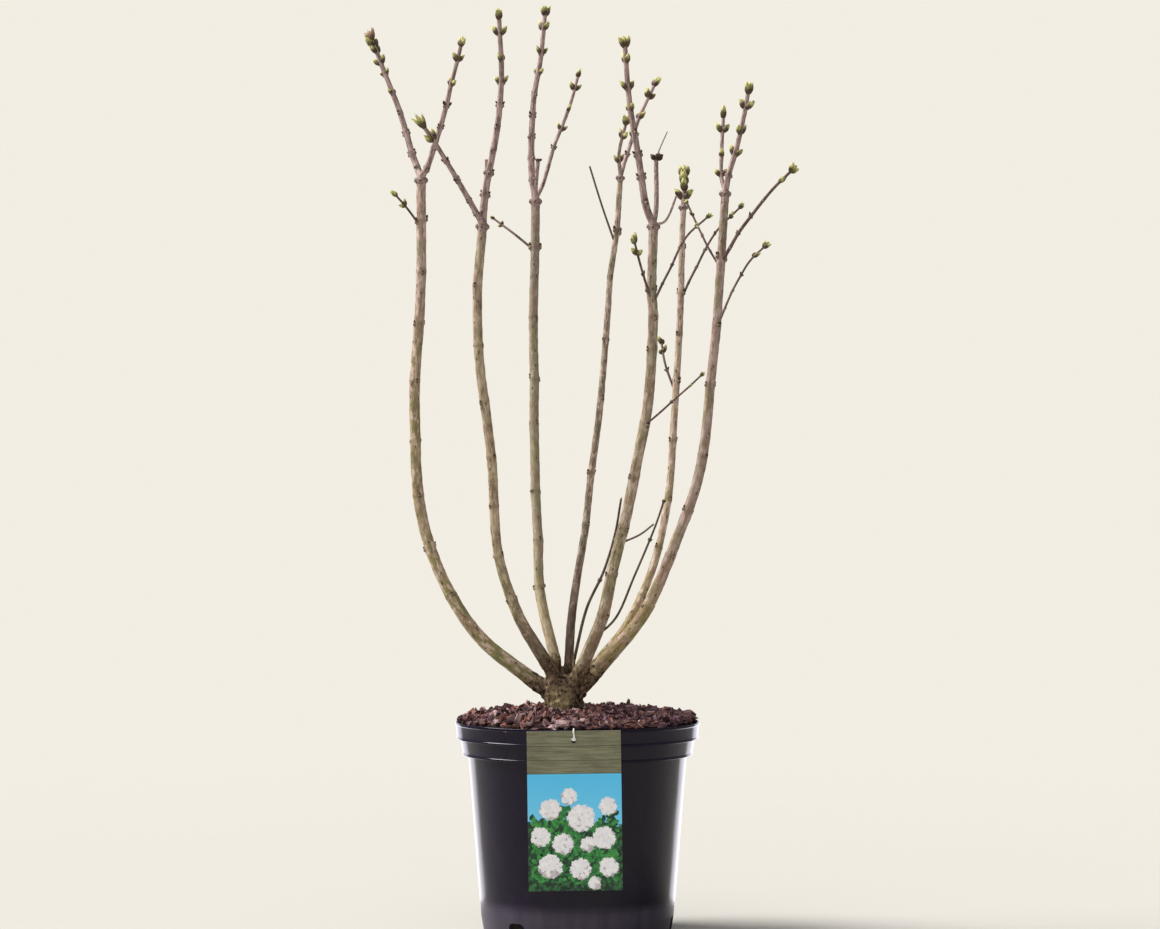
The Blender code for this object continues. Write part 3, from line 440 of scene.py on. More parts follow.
class LilacBarkSettings(bpy.types.PropertyGroup):
    """Bark of the trunk, the stems and the shoots."""

    ring: FloatProperty(name="Ring spacing", description="Run of the rings along a stem",
                        default=1.8 * MM, min=0.5 * MM, max=10 * MM, unit="LENGTH")
    relief: FloatProperty(name="Stem relief", description="Height of the unevenness on a stem",
                          default=0.95 * MM, min=0, max=3 * MM, unit="LENGTH")
    voxel: FloatProperty(name="Trunk grain", description="Size of the faces on the trunk",
                         default=1.2 * MM, min=0.6 * MM, max=4 * MM, unit="LENGTH")
    trunk_relief: FloatProperty(name="Trunk relief", description="Height of the trunk's rough bark",
                                default=3.4 * MM, min=0, max=8 * MM, unit="LENGTH")
    swell: FloatProperty(name="Joint swelling", description="How much a leaf joint is thicker",
                         default=0.06, min=0, max=0.6, subtype="FACTOR")
    shoot: FloatVectorProperty(name="Young bark", description="Colour of the young shoots",
                               default=colour(168, 143, 134)[:3], size=3, subtype="COLOR", min=0, max=1)
    twig: FloatVectorProperty(name="Twig bark", description="Colour of the thin side twigs",
                              default=colour(106, 86, 77)[:3], size=3, subtype="COLOR", min=0, max=1)
    whip: FloatVectorProperty(name="Whip bark", description="Colour of the low whips",
                              default=colour(88, 75, 60)[:3], size=3, subtype="COLOR", min=0, max=1)
    trunk: FloatVectorProperty(name="Old bark", description="Colour of the trunk",
                               default=colour(106, 87, 70)[:3], size=3, subtype="COLOR", min=0, max=1)
    dead: FloatVectorProperty(name="Dead wood", description="Colour of the dead twigs",
                              default=colour(120, 102, 92)[:3], size=3, subtype="COLOR", min=0, max=1)


class LilacBudSettings(bpy.types.PropertyGroup):
    """Buds."""

    green: FloatVectorProperty(name="Opening scales", description="Colour of the inner bud scales",
                               default=colour(142, 133, 70)[:3], size=3, subtype="COLOR", min=0, max=1)
    olive: FloatVectorProperty(name="Olive scales", description="Colour of the middle bud scales",
                               default=colour(104, 92, 56)[:3], size=3, subtype="COLOR", min=0, max=1)
    brown: FloatVectorProperty(name="Brown scales", description="Colour of the outer bud scales",
                               default=colour(88, 70, 50)[:3], size=3, subtype="COLOR", min=0, max=1)
    flare: FloatProperty(name="Flare", description="How far the tip buds have opened",
                         default=0.1, min=0, max=1, subtype="FACTOR")


class LilacLabelSettings(bpy.types.PropertyGroup):
    """Plant label."""

    header: FloatVectorProperty(name="Header", description="Colour of the label's upper part",
                                default=colour(128, 126, 98)[:3], size=3, subtype="COLOR", min=0, max=1)
    sky: FloatVectorProperty(name="Sky", description="Colour of the label's picture ground",
                             default=colour(92, 204, 250)[:3], size=3, subtype="COLOR", min=0, max=1)
    print_proud: FloatProperty(name="Print thickness", description="How far a printed shape stands out",
                               default=0.04 * MM, min=0.01 * MM, max=0.2 * MM, unit="LENGTH")


def pick(*objects):
    """Makes these the only selected objects, the first of them active."""
    bpy.ops.object.select_all(action="DESELECT")
    for obj in objects:
        obj.select_set(True)
    bpy.context.view_layer.objects.active = objects[0]


def added(operator, **values):
    """The object that an add operator makes, with nothing else selected."""
    bpy.ops.object.select_all(action="DESELECT")
    operator(**values)
    return bpy.context.object


def placed(name, data):
    """A new object in the scene for a curve or a mesh."""
    obj = bpy.data.objects.new(name, data)
    bpy.context.scene.collection.objects.link(obj)
    return obj


def ball(rings):
    """A coarse ball of unit width, the start of a small model."""
    return added(bpy.ops.mesh.primitive_uv_sphere_add, segments=8, ring_count=rings, radius=0.5)


def settled(obj):
    """Puts an object's place, turn and scale into its mesh."""
    pick(obj)
    bpy.ops.object.transform_apply(location=True, rotation=True, scale=True)
    return obj


def changed(obj, kind, **values):
    """Adds a modifier with its values to an object, and applies it."""
    pick(obj)
    modifier = obj.modifiers.new(kind.lower(), kind)
    for name, value in values.items():
        setattr(modifier, name, value)
    bpy.ops.object.modifier_apply(modifier=modifier.name)
    return obj


def edited(obj, *steps):
    """Runs edit-mode steps, each an operator and its values, on all of a mesh."""
    pick(obj)
    bpy.ops.object.mode_set(mode="EDIT")
    for operator, values in steps:
        bpy.ops.mesh.select_all(action="SELECT")
        operator(**values)
    bpy.ops.object.mode_set(mode="OBJECT")
    return obj


def as_piece(obj, name, material, slot, *replaced):
    """Names a finished piece, and gives it its material, its body and the nodes it replaces, which it hides;
    the slot is not used.
    """
    obj.name = name
    obj.data.name = name
    obj.data.materials.clear()
    obj.data.materials.append(material)
    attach(obj, BODY)
    if replaced:
        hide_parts(*replaced)


def places_of(mesh):
    """The places of a mesh's points, a row for each."""
    places = np.empty(len(mesh.vertices) * 3)
    mesh.vertices.foreach_get("co", places)
    return places.reshape(-1, 3)


def keep(mesh, name, values):
    """Keeps a number on each of a mesh's points."""
    kept = mesh.attributes.new(name, "FLOAT", "POINT")
    kept.data.foreach_set("value", values.astype(np.float32))


def stations(start, end, count):
    """Even marks from a start to an end."""
    return [start + (end - start) * step / count for step in range(count + 1)]


def joined_as_one(objects):
    """Joins objects into the first of them."""
    pick(*objects)
    if len(objects) > 1:
        bpy.ops.object.join()
    return bpy.context.object


class Signal:
    """A socket of a shader tree that can be used in Python sums."""

    def __init__(self, paint, socket):
        self.paint = paint
        self.socket = socket

    def worked(self, operation, one, other):
        """A Math node on two values."""
        return self.paint.node("Math", {"operation": operation}, {0: one, 1: other})

    def __add__(self, other):
        return self.worked("ADD", self, other)

    def __radd__(self, other):
        return self.worked("ADD", other, self)

    def __sub__(self, other):
        return self.worked("SUBTRACT", self, other)

    def __rsub__(self, other):
        return self.worked("SUBTRACT", other, self)

    def __mul__(self, other):
        return self.worked("MULTIPLY", self, other)


class Paint:
    """A material built from nodes on a Principled shader."""

    def __init__(self, name, roughness=0.5, specular=0.5):
        self.material = bpy.data.materials.new(name)
        self.material.use_nodes = True
        self.tree = self.material.node_tree
        self.shader = self.tree.nodes["Principled BSDF"]
        self.shader.inputs["Roughness"].default_value = roughness
        self.shader.inputs["Specular IOR Level"].default_value = specular

    def node(self, kind, settings=None, sockets=None, output=0):
        """Adds a node: its settings, then the values or links of its sockets."""
        made = self.tree.nodes.new("ShaderNode" + kind)
        for key, value in (settings or {}).items():
            setattr(made, key, value)
        for key, value in (sockets or {}).items():
            self.link(value, made.inputs[key])
        return Signal(self, made.outputs[output])

    def link(self, value, socket):
        """Sets a socket to a value, or links it to a signal."""
        if isinstance(value, Signal):
            self.tree.links.new(value.socket, socket)
        else:
            socket.default_value = value

    def feed(self, **values):
        """Feeds sockets of the shader, named with underscores for spaces."""
        for name, value in values.items():
            self.link(value, self.shader.inputs[name.replace("_", " ")])
        return self.material

    def place(self):
        """The place on the object, in metres."""
        return self.node("TexCoord", output=3)

    def height(self):
        """The height of a place on the object, in metres."""
        return self.node("SeparateXYZ", sockets={0: self.place()}, output=2)

    def along(self, length, girth, shift=0.0):
        """The place on a limb's surface: metres along it and metres round it, and a shift."""
        wrap = self.node("UVMap", {"uv_map": "UVMap"})
        sockets = {0: wrap, 1: (length, girth, 1.0), 2: (0.0, 0.0, shift)}
        return self.node("VectorMath", {"operation": "MULTIPLY_ADD"}, sockets)

    def attribute(self, name):
        """A number kept on the mesh's points."""
        return self.node("Attribute", {"attribute_name": name}, output=2)

    def stretched(self, place, scale):
        """A place scaled on each axis."""
        return self.node("VectorMath", {"operation": "MULTIPLY"}, {0: place, 1: scale})

    def noise(self, place, size, scale=None, detail=2.0, rough=0.5):
        """Soft noise from 0 to 1 with features of a size in metres, on a place scaled on each axis."""
        place = self.stretched(place, scale) if scale else place
        sockets = {"Vector": place, "Scale": 1 / size, "Detail": detail, "Roughness": rough}
        return self.node("TexNoise", sockets=sockets)

    def cells(self, place, size, scale=None):
        """The distance from the nearest seed point of cells of a size in metres, scaled as for noise."""
        place = self.stretched(place, scale) if scale else place
        return self.node("TexVoronoi", sockets={"Vector": place, "Scale": 1 / size})

    def fade(self, value, start, end):
        """Goes smoothly from 0 to 1 as a value goes from start to end."""
        settings = {"interpolation_type": "SMOOTHSTEP", "clamp": True}
        return self.node("MapRange", settings, {0: value, 1: start, 2: end, 3: 0.0, 4: 1.0})

    def mix(self, share, one, other):
        """One colour turning into the other as the share goes from 0 to 1."""
        return self.node("Mix", {"data_type": "RGBA"}, {0: share, 6: full(one), 7: full(other)}, output=2)

    def toned(self, signal, band, shade, darker, lighter):
        """A shade that goes from darker to lighter as a signal goes through a band."""
        return self.mix(self.fade(signal, *band), shaded(shade, darker), shaded(shade, lighter))

    def above(self, ground, signal, band, share, shade):
        """The ground with a shade laid on it where a signal is above a band."""
        return self.mix(self.fade(signal, *band) * share, ground, shade)

    def below(self, ground, signal, band, share, shade):
        """The ground with a shade laid on it where a signal is below a band."""
        return self.mix((1.0 - self.fade(signal, *band)) * share, ground, shade)

    def bump(self, height, distance, strength=1.0):
        """A surface relief from a height between 0 and 1 and its depth in metres."""
        return self.node("Bump", sockets={"Height": height, "Distance": distance, "Strength": strength})


def full(shade):
    """A colour with its alpha, or a signal as it is."""
    if isinstance(shade, Signal) or len(shade) == 4:
        return shade
    return (*shade, 1.0)


def shaded(shade, factor):
    """A colour made darker or lighter by a factor."""
    return tuple(channel * factor for channel in shade[:3]) + (1.0,)


def speckled(name, shade, darker=0.6, size=3 * MM, roughness=0.8, relief=0.3 * MM):
    """A plain matt finish with soft patches and a fine relief."""
    paint = Paint(name, roughness, specular=0.25)
    patches = paint.noise(paint.place(), size, detail=3.0)
    ground = paint.toned(patches, (0.3, 0.7), shade, darker, 1.15)
    paint.feed(Base_Color=ground)
    fine = paint.noise(paint.place(), size / 4, detail=3.0)
    return paint.feed(Normal=paint.bump(fine, relief))


def pot_plastic(settings):
    """Glossy black plastic with a soft waviness, a paler foot in upright streaks that is painted reflection
    of the floor, faint dust and fine scuffs.
    """
    paint = Paint("pot_plastic", settings.gloss, specular=0.22)
    place = paint.place()
    dust = paint.noise(place, 24 * MM, detail=4.0)
    # Painted reflection: the foot pales in upright streaks towards a lavender grey, standing for the pale
    # floor mirrored in it.
    low = 1.0 - paint.fade(paint.height(), 28 * MM, 46 * MM)
    streaks = paint.noise(place, 12 * MM, (1, 1, 0.08), detail=2.0)
    # Faint real dust plus the painted reflection on the foot; the plastic is also rougher where these lie.
    dust_and_painted_reflection = paint.fade(dust, 0.5, 0.85) * 0.05 + low * (0.16 + streaks * 0.4)
    paint.feed(Base_Color=paint.mix(dust_and_painted_reflection, settings.plastic, colour(98, 90, 106)))
    scuffs = paint.fade(paint.noise(place, 1.6 * MM, (1, 1, 0.12), detail=3.0), 0.6, 0.8)
    paint.feed(Roughness=settings.gloss + dust_and_painted_reflection * 0.5 + scuffs * 0.06)
    waves = paint.noise(place, 38 * MM, (1, 1, 0.45), detail=1.0)
    return paint.feed(Normal=paint.bump(waves, 1.6 * MM, strength=0.35))


def stem_bark(stem, length, girth):
    """Smooth young-stem bark: a colour that changes with height, fibres, pores and joints."""
    paint = Paint(stem.name + "_bark", 0.68, specular=0.22)
    low, middle, high = (colour(*shade) for shade in stem.bark)
    patches = paint.noise(paint.place(), 42 * MM, detail=2.0)
    level = paint.height() + (patches - 0.5) * 0.16
    lower = paint.mix(paint.fade(level, 0.31, 0.47), low, middle)
    ground = paint.mix(paint.fade(level, 0.58, 0.82), lower, high)
    surface = paint.along(length, girth, stem.number * 0.37)
    blush = paint.noise(surface, 16 * MM, (0.4, 1, 1), detail=3.0)
    ground = paint.above(ground, blush, (0.5, 0.6), 0.5, colour(164, 124, 106))
    ground = paint.below(ground, blush, (0.38, 0.48), 0.5, colour(142, 136, 76))
    blots = paint.noise(surface, 6 * MM, (0.5, 1, 1), detail=3.0, rough=0.6)
    ground = paint.above(ground, blots, (0.5, 0.62), 0.6, shaded(high, 1.6))
    ground = paint.below(ground, blots, (0.36, 0.46), 0.5, shaded(low, 0.45))
    fibres = paint.noise(surface, 1.4 * MM, (0.1, 1, 1), detail=3.0, rough=0.6)
    ground = paint.above(ground, fibres, (0.35, 0.75), 0.6, shaded(middle, 0.5))
    streaks = paint.noise(surface, 3.4 * MM, (0.16, 1, 1), detail=3.0, rough=0.7)
    ground = paint.above(ground, streaks, (0.52, 0.68), 0.7, shaded(low, 0.42))
    ground = paint.below(ground, streaks, (0.28, 0.45), 0.45, shaded(high, 1.5))
    spots = paint.cells(surface, 7 * MM, (0.6, 1, 1))
    pores = 1.0 - paint.fade(spots, 0.1, 0.24)
    ground = paint.mix(pores * 0.7, ground, colour(84, 66, 52))
    flecks = paint.cells(surface, 4.2 * MM)
    ground = paint.below(ground, flecks, (0.12, 0.22), 0.5, colour(206, 190, 164))
    ground = paint.mix(paint.attribute("joint") * 0.3, ground, colour(92, 72, 56))
    run = paint.node("SeparateXYZ", sockets={0: surface}, output=0)
    low_down = 1.0 - paint.fade(run, 4 * MM, DARK_FEET.get(stem.number, DARK_FOOT))
    foot = low_down * (0.5 + streaks * 0.7) * (1.05 - PALENESS[stem.number])
    ground = paint.mix(foot, ground, colour(84, 68, 54))
    paint.feed(Base_Color=ground)
    relief = fibres * 0.5 + streaks * 0.6 + pores * 0.6
    return paint.feed(Normal=paint.bump(relief, 0.8 * MM))


def shoot_bark(name, shade, length, girth):
    """Young bark: brownish mauve with paler skin, fine pores and darker joints."""
    paint = Paint(name, 0.6, specular=0.25)
    surface = paint.along(length, girth, length)
    skin = paint.noise(surface, 3.2 * MM, (0.25, 1, 1), detail=3.0, rough=0.6)
    ground = paint.toned(skin, (0.38, 0.62), shade, 0.55, 1.35)
    pores = 1.0 - paint.fade(paint.cells(surface, 2.8 * MM), 0.12, 0.24)
    ground = paint.mix(pores * 0.6, ground, colour(198, 178, 156))
    ground = paint.mix(paint.attribute("joint") * 0.35, ground, colour(88, 68, 60))
    paint.feed(Base_Color=ground)
    return paint.feed(Normal=paint.bump(skin * 0.6 + pores, 0.3 * MM))


def dead_wood(name, shade):
    """Dry grey-brown dead wood with fine cracks along it."""
    paint = Paint(name, 0.9, specular=0.15)
    cracks = paint.noise(paint.place(), 1.2 * MM, (1, 1, 0.2), detail=3.0)
    paint.feed(Base_Color=paint.toned(cracks, (0.35, 0.65), shade, 0.7, 1.2))
    return paint.feed(Normal=paint.bump(cracks, 0.4 * MM))


def trunk_bark(settings):
    """Rough old bark: dark cracks and light ridge tops, partly its own tone and partly painted shade and
    painted highlight, and a pale strand at the front left, partly paler root bark and partly painted light
    from the left.
    """
    paint = Paint("trunk_bark", 0.88, specular=0.2)
    place = paint.place()
    # The same ridges set the relief and the tone: dark in the cracks and light on the tops, partly the
    # bark's own tone and partly painted shade and painted highlight.
    ridges = paint.noise(place, 4 * MM, (1, 1, 0.6), detail=4.0, rough=0.7)
    ground = paint.toned(ridges, (0.4, 0.6), settings.trunk, 0.2, 1.6)
    flakes = paint.fade(paint.noise(place, 8 * MM, detail=4.0, rough=0.6), 0.52, 0.62)
    ground = paint.mix(flakes * 0.6, ground, colour(150, 124, 98))
    across = paint.node("SeparateXYZ", sockets={0: place}, output=0)
    # Pale strand at the front left, low down: partly paler root bark and partly painted light where light
    # from the left falls on the root ridge.
    left = paint.fade(across, -0.042, -0.03) * (1.0 - paint.fade(across, -0.014, -0.004))
    low = 1.0 - paint.fade(paint.height(), 0.268, 0.29)
    ground = paint.mix(left * low * (0.4 + flakes * 0.5), ground, colour(186, 168, 124))
    pits = paint.cells(place, 5.5 * MM, (1, 1, 0.7))
    ground = paint.below(ground, pits, (0.16, 0.34), 0.8, colour(44, 34, 30))
    root = paint.mix(paint.attribute("pale"), colour(100, 82, 66), colour(166, 150, 108))
    # The young roots also darken in the ridges' cracks, partly painted shade.
    root = paint.mix(1.0 - paint.fade(ridges, 0.38, 0.54), root, colour(76, 62, 50))
    ground = paint.mix(paint.attribute("young") * (0.45 + flakes * 0.5), ground, root)
    paint.feed(Base_Color=ground)
    fine = paint.noise(place, 1.6 * MM, detail=3.0)
    return paint.feed(Normal=paint.bump(ridges * 0.8 + fine * 0.4, 2.2 * MM))


def bud_skin(name, shade, tip=None, roughness=0.5):
    """A bud scale's waxy skin, paler towards its tip."""
    paint = Paint(name, roughness, specular=0.35)
    veins = paint.noise(paint.place(), 1.6 * MM, detail=2.0)
    ground = paint.toned(veins, (0.3, 0.7), shade, 0.72, 1.15)
    if tip:
        ground = paint.mix(paint.fade(paint.attribute("rise"), 0.3, 0.95), ground, tip)
    paint.feed(Base_Color=ground)
    return paint.feed(Normal=paint.bump(veins, 0.15 * MM))


def print_ink(name, shade, other, size, roughness=0.32):
    """Printed ink on card, with two tones in soft patches."""
    paint = Paint(name, roughness, specular=0.5)
    tones = paint.noise(paint.place(), size, detail=3.0)
    return paint.feed(Base_Color=paint.mix(paint.fade(tones, 0.3, 0.7), shade, other))


def header_ink(shade):
    """The label's upper print: soft level streaks in an olive grey."""
    paint = Paint("header_ink", 0.35, specular=0.5)
    place = paint.place()
    streaks = paint.noise(place, 2.2 * MM, (0.06, 1, 1), detail=4.0, rough=0.6)
    ground = paint.toned(streaks, (0.3, 0.7), shade, 0.62, 1.25)
    weather = paint.noise(place, 14 * MM, (0.5, 1, 1), detail=3.0)
    return paint.feed(Base_Color=paint.above(ground, weather, (0.45, 0.7), 0.5, shaded(shade, 0.55)))


def sky_ink(shade):
    """The picture's ground: blue that pales downwards, over dark leaves in soft focus."""
    paint = Paint("sky_ink", 0.32, specular=0.5)
    pale = 1.0 - paint.fade(paint.height(), CARD_LOW.z + 0.05, CARD_HIGH.z - 0.05)
    blue = paint.mix(pale * 0.45, full(shade), colour(160, 232, 254))
    leaves = paint.noise(paint.place(), 5 * MM, detail=3.0)
    shadow = paint.mix(paint.fade(leaves, 0.4, 0.65), colour(14, 40, 28), colour(46, 110, 58))
    edge = paint.height() + (paint.noise(paint.place(), 16 * MM, detail=4.0) - 0.5) * 0.05
    sky = paint.fade(edge, CARD_LOW.z + 0.074, CARD_LOW.z + 0.078)
    return paint.feed(Base_Color=paint.mix(sky, shadow, blue))


def seen_at(across, height, depth):
    """The place of a point given in the axis plane in millimetres, moved to its depth."""
    share = (-EYE.y - depth * MM) / -EYE.y
    x = EYE.x + (across * MM - EYE.x) * share
    z = EYE.z + (height * MM - EYE.z) * share
    return Vector((x, -depth * MM, z))


def rounded_through(waypoints):
    """A smooth line through waypoints, with even swing on either side of each."""
    ends = [waypoints[0] * 2 - waypoints[1], waypoints[-1] * 2 - waypoints[-2]]
    chain = [ends[0], *waypoints, ends[1]]
    line = []
    for before, start, end, after in zip(chain, chain[1:], chain[2:], chain[3:]):
        times = [0.0]
        for one, other in ((before, start), (start, end), (end, after)):
            times.append(times[-1] + math.sqrt((other - one).length))
        for step in range(SPAN_STEPS):
            now = times[1] + (times[2] - times[1]) * step / SPAN_STEPS
            low = before.lerp(start, (now - times[0]) / (times[1] - times[0]))
            middle = start.lerp(end, (now - times[1]) / (times[2] - times[1]))
            high = end.lerp(after, (now - times[2]) / (times[3] - times[2]))
            inner = low.lerp(middle, (now - times[0]) / (times[2] - times[0]))
            outer = middle.lerp(high, (now - times[1]) / (times[3] - times[1]))
            line.append(inner.lerp(outer, (now - times[1]) / (times[2] - times[1])))
    line.append(waypoints[-1])
    return line


class Line:
    """A centre line with places and directions by the length along it."""

    def __init__(self, waypoints):
        self.points = rounded_through(waypoints)
        self.measure()

    def measure(self):
        """Works out the length along the line at each of its points."""
        self.marks = [0.0]
        for one, other in zip(self.points, self.points[1:]):
            self.marks.append(self.marks[-1] + (other - one).length)
        self.length = self.marks[-1]

    def at(self, mark):
        """The place at a length along the line, past its ends straight on."""
        if mark < 0:
            return self.points[0] + (self.points[0] - self.points[1]).normalized() * -mark
        if mark >= self.length:
            return self.points[-1] + (self.points[-1] - self.points[-2]).normalized() * (mark - self.length)
        index = next(i for i in range(1, len(self.marks)) if mark <= self.marks[i])
        run = self.marks[index] - self.marks[index - 1]
        return self.points[index - 1].lerp(self.points[index], (mark - self.marks[index - 1]) / run)

    def along(self, mark):
        """The direction of growth at a length along the line."""
        step = 0.5 * MM
        mark = min(max(mark, step), self.length - step)
        return (self.at(mark + step) - self.at(mark - step)).normalized()

    def kink(self, joints, reach, draw):
        """Bends the line slightly at each of its leaf joints, and leaves its ends in place."""
        stops = [0.0, *sorted(joint for joint in joints if 0 < joint < self.length), self.length]
        shifts = [Vector((draw.uniform(-reach, reach), draw.uniform(-reach, reach), 0)) for _ in stops]
        shifts[0] = shifts[-1] = Vector((0, 0, 0))
        moved = []
        for mark, point in zip(self.marks, self.points):
            index = next(i for i in range(1, len(stops)) if mark <= stops[i])
            share = (mark - stops[index - 1]) / (stops[index] - stops[index - 1])
            moved.append(point + shifts[index - 1].lerp(shifts[index], share))
        self.points = moved
        self.measure()

    def mark_of_height(self, height):
        """The length along an upright line where it passes a height."""
        for mark, point in zip(self.marks, self.points):
            if point.z >= height:
                return mark
        return self.length


def depth_on_stem(stem, height):
    """A stem's depth at a height: it swings out low down and then stands upright."""
    foot = stem.route[0][1]
    top = stem.route[-1][1]
    share = min(max((height - foot) / (top - foot), 0.0), 1.0)
    swing = 1 - (1 - share) ** SWING_POWER
    return stem.foot_depth + (stem.top_depth - stem.foot_depth) * swing


def joint_marks(stem, line):
    """The lengths along a stem's line where its leaf joints are."""
    return [line.mark_of_height(seen_at(0, height, depth_on_stem(stem, height)).z) for height in stem.joints]


def stem_line(stem):
    """The centre line of a stem from its foot at the trunk to its fork, with a kink at each joint."""
    line = Line([seen_at(across, height, depth_on_stem(stem, height)) for across, height in stem.route])
    line.kink(joint_marks(stem, line), STEM_KINK, random.Random(KINK_SEED + stem.number))
    return line


LINES = {number: stem_line(stem) for number, stem in STEMS.items()}


def stem_radius(stem, line, mark):
    """A stem's radius at a length along it, without the swelling of its joints."""
    foot, waist, top = (thickness / 2 * MM for thickness in stem.thicknesses)
    share = min(max(mark / line.length, 0.0), 1.0)
    if share < WAIST:
        return waist + (foot - waist) * (1 - share / WAIST) ** FOOT_TAPER
    return waist + (top - waist) * (share - WAIST) / (1 - WAIST)


def shoot_line(start_point, start_depth, shoot):
    """The centre line of a shoot from a point, its depth changing evenly to its tip."""
    first = shoot.route[0]
    rise = shoot.route[-1][1] - first[1]
    points = [start_point]
    for across, height in shoot.route:
        share = FIRST_DEPTH + (1 - FIRST_DEPTH) * (height - first[1]) / rise if rise > 0 else 1.0
        points.append(seen_at(across, height, start_depth + (shoot.tip_depth - start_depth) * share))
    return Line(points)


def whip_line():
    """The centre line of the whip that grows from the trunk."""
    return shoot_line(seen_at(*WHIP_FOOT, WHIP_DEPTH), WHIP_DEPTH, WHIP)


def limb(name, points, radii, sides):
    """A tapering limb, drawn as a bevelled curve and made a mesh whose U runs along it."""
    curve = bpy.data.curves.new(name, "CURVE")
    curve.dimensions = "3D"
    curve.bevel_depth = 1.0
    curve.bevel_resolution = sides // 2 - 2
    curve.use_fill_caps = True
    spline = curve.splines.new("POLY")
    spline.points.add(len(points) - 1)
    for station, point, radius in zip(spline.points, points, radii):
        station.co = (*point, 1.0)
        station.radius = radius
    pick(placed(name, curve))
    bpy.ops.object.convert(target="MESH")
    return edited(bpy.context.object, (bpy.ops.mesh.remove_doubles, {"threshold": 1e-6}))


def swollen(marks, radius_at, joints, swell, spread=2.6 * MM):
    """The radii at marks, thicker at the joints, and how near each mark is to a joint."""
    radii = []
    nearness = []
    for mark in marks:
        bulge = 0.0
        near = 0.0
        for joint in joints:
            away = (mark - joint) / spread
            bulge += math.exp(-away * away) * swell
            bulge += math.exp(-(((away + TAIL_DROP) / TAIL_SPREAD) ** 2)) * swell * TAIL_SHARE
            near = max(near, math.exp(-((away / NEAR_SPREAD) ** 2)))
        radii.append(radius_at(mark) * (1.0 + bulge))
        nearness.append(near)
    return radii, nearness


def keep_nearness(obj, line_points, nearness):
    """Keeps on each point of a limb how near it is to a leaf joint."""
    centres = np.array([tuple(point) for point in line_points])
    nearest = [np.argmin(((centres - place) ** 2).sum(axis=1)) for place in places_of(obj.data)]
    keep(obj.data, "joint", np.array(nearness)[np.array(nearest)])


def relief_texture(name, kind, size):
    """A texture for a relief, with features of about a size."""
    texture = bpy.data.textures.get(name) or bpy.data.textures.new(name, kind)
    texture.noise_scale = size
    return texture


class Spray:
    """Copies of small models, gathered by kind and joined into one mesh for each kind."""

    def __init__(self):
        self.models = {}
        self.copies = {}

    def model(self, name, obj):
        """Keeps the shape of an object as a model, and removes the object."""
        mesh = obj.data
        self.models[name] = (places_of(mesh), [tuple(face.vertices) for face in mesh.polygons])
        bpy.data.objects.remove(obj, do_unlink=True)
        bpy.data.meshes.remove(mesh)

    def add(self, kind, name, matrix):
        """Adds a copy of a model to a kind."""
        self.copies.setdefault(kind, []).append((name, np.array(matrix)))

    def build(self, kind, smooth=True):
        """One joined mesh of all the copies of a kind."""
        places = []
        rises = []
        faces = []
        count = 0
        for name, matrix in self.copies[kind]:
            model_places, model_faces = self.models[name]
            places.append(model_places @ matrix[:3, :3].T + matrix[:3, 3])
            rises.append(model_places[:, 2])
            faces.extend(tuple(index + count for index in face) for face in model_faces)
            count += len(model_places)
        mesh = bpy.data.meshes.new(kind)
        mesh.from_pydata(np.concatenate(places).tolist(), [], faces)
        mesh.update()
        keep(mesh, "rise", np.concatenate(rises))
        if smooth:
            mesh.shade_smooth()
        return placed(kind, mesh)


def grown_towards(place, direction, roll, width, length):
    """The matrix that sets an upright model at a place, growing in a direction."""
    turn = direction.to_track_quat("Z", "Y").to_matrix().to_4x4()
    size = Matrix.Diagonal((width, width, length, 1.0))
    return Matrix.Translation(place) @ turn @ Matrix.Rotation(roll, 4, "Z") @ size


def bud_girth(share):
    """The radius of a bud of unit width at a share of its length."""
    return 0.5 * math.sin(math.pi * min(0.16 + share * 0.84, 1.0) ** 0.85) ** 0.9


def make_scale(reach, lift, flare):
    """A pointed scale on a bud of unit size: its reach up the bud, its lift off it, its flare."""
    obj = added(bpy.ops.mesh.primitive_grid_add, x_subdivisions=4, y_subdivisions=4, size=2)
    for vert in obj.data.vertices:
        across = vert.co.x
        share = (vert.co.y + 1) / 2
        opening = math.radians(SCALE_WRAP) * (1 - share ** 2.2) + 0.02
        height = share * reach
        radius = bud_girth(height) + lift + flare * share ** 3
        vert.co = (radius * math.sin(across * opening), radius * math.cos(across * opening), height)
    changed(obj, "SOLIDIFY", thickness=SCALE_THICKNESS, offset=0.0)
    return edited(obj, (bpy.ops.mesh.normals_make_consistent, {"inside": False}))


def make_core():
    """The pointed core of a bud of unit size."""
    obj = ball(7)
    for vert in obj.data.vertices:
        share = vert.co.z + 0.5
        around = Vector((vert.co.x, vert.co.y))
        if around.length > 1e-6:
            around = around.normalized() * bud_girth(share) * 0.95
        vert.co = (around.x, around.y, share * 0.96)
    return obj


def make_scar():
    """A small shield-shaped leaf scar, flat on its back."""
    obj = ball(5)
    for vert in obj.data.vertices:
        droop = 0.3 * (0.5 - abs(vert.co.x)) if vert.co.z < 0 else 0.0
        vert.co = (vert.co.x, vert.co.y * 0.3, vert.co.z * 0.55 - droop)
    return obj


def make_cushion():
    """A lump of bark of unit width that carries a bud, steep above and running out below."""
    obj = ball(6)
    for vert in obj.data.vertices:
        below = max(-vert.co.z, 0.0) * 2
        vert.co.x *= 1 - 0.3 * below
        vert.co.y *= 1 - 0.45 * below
        vert.co.z *= 1 + 0.7 * below
    return obj


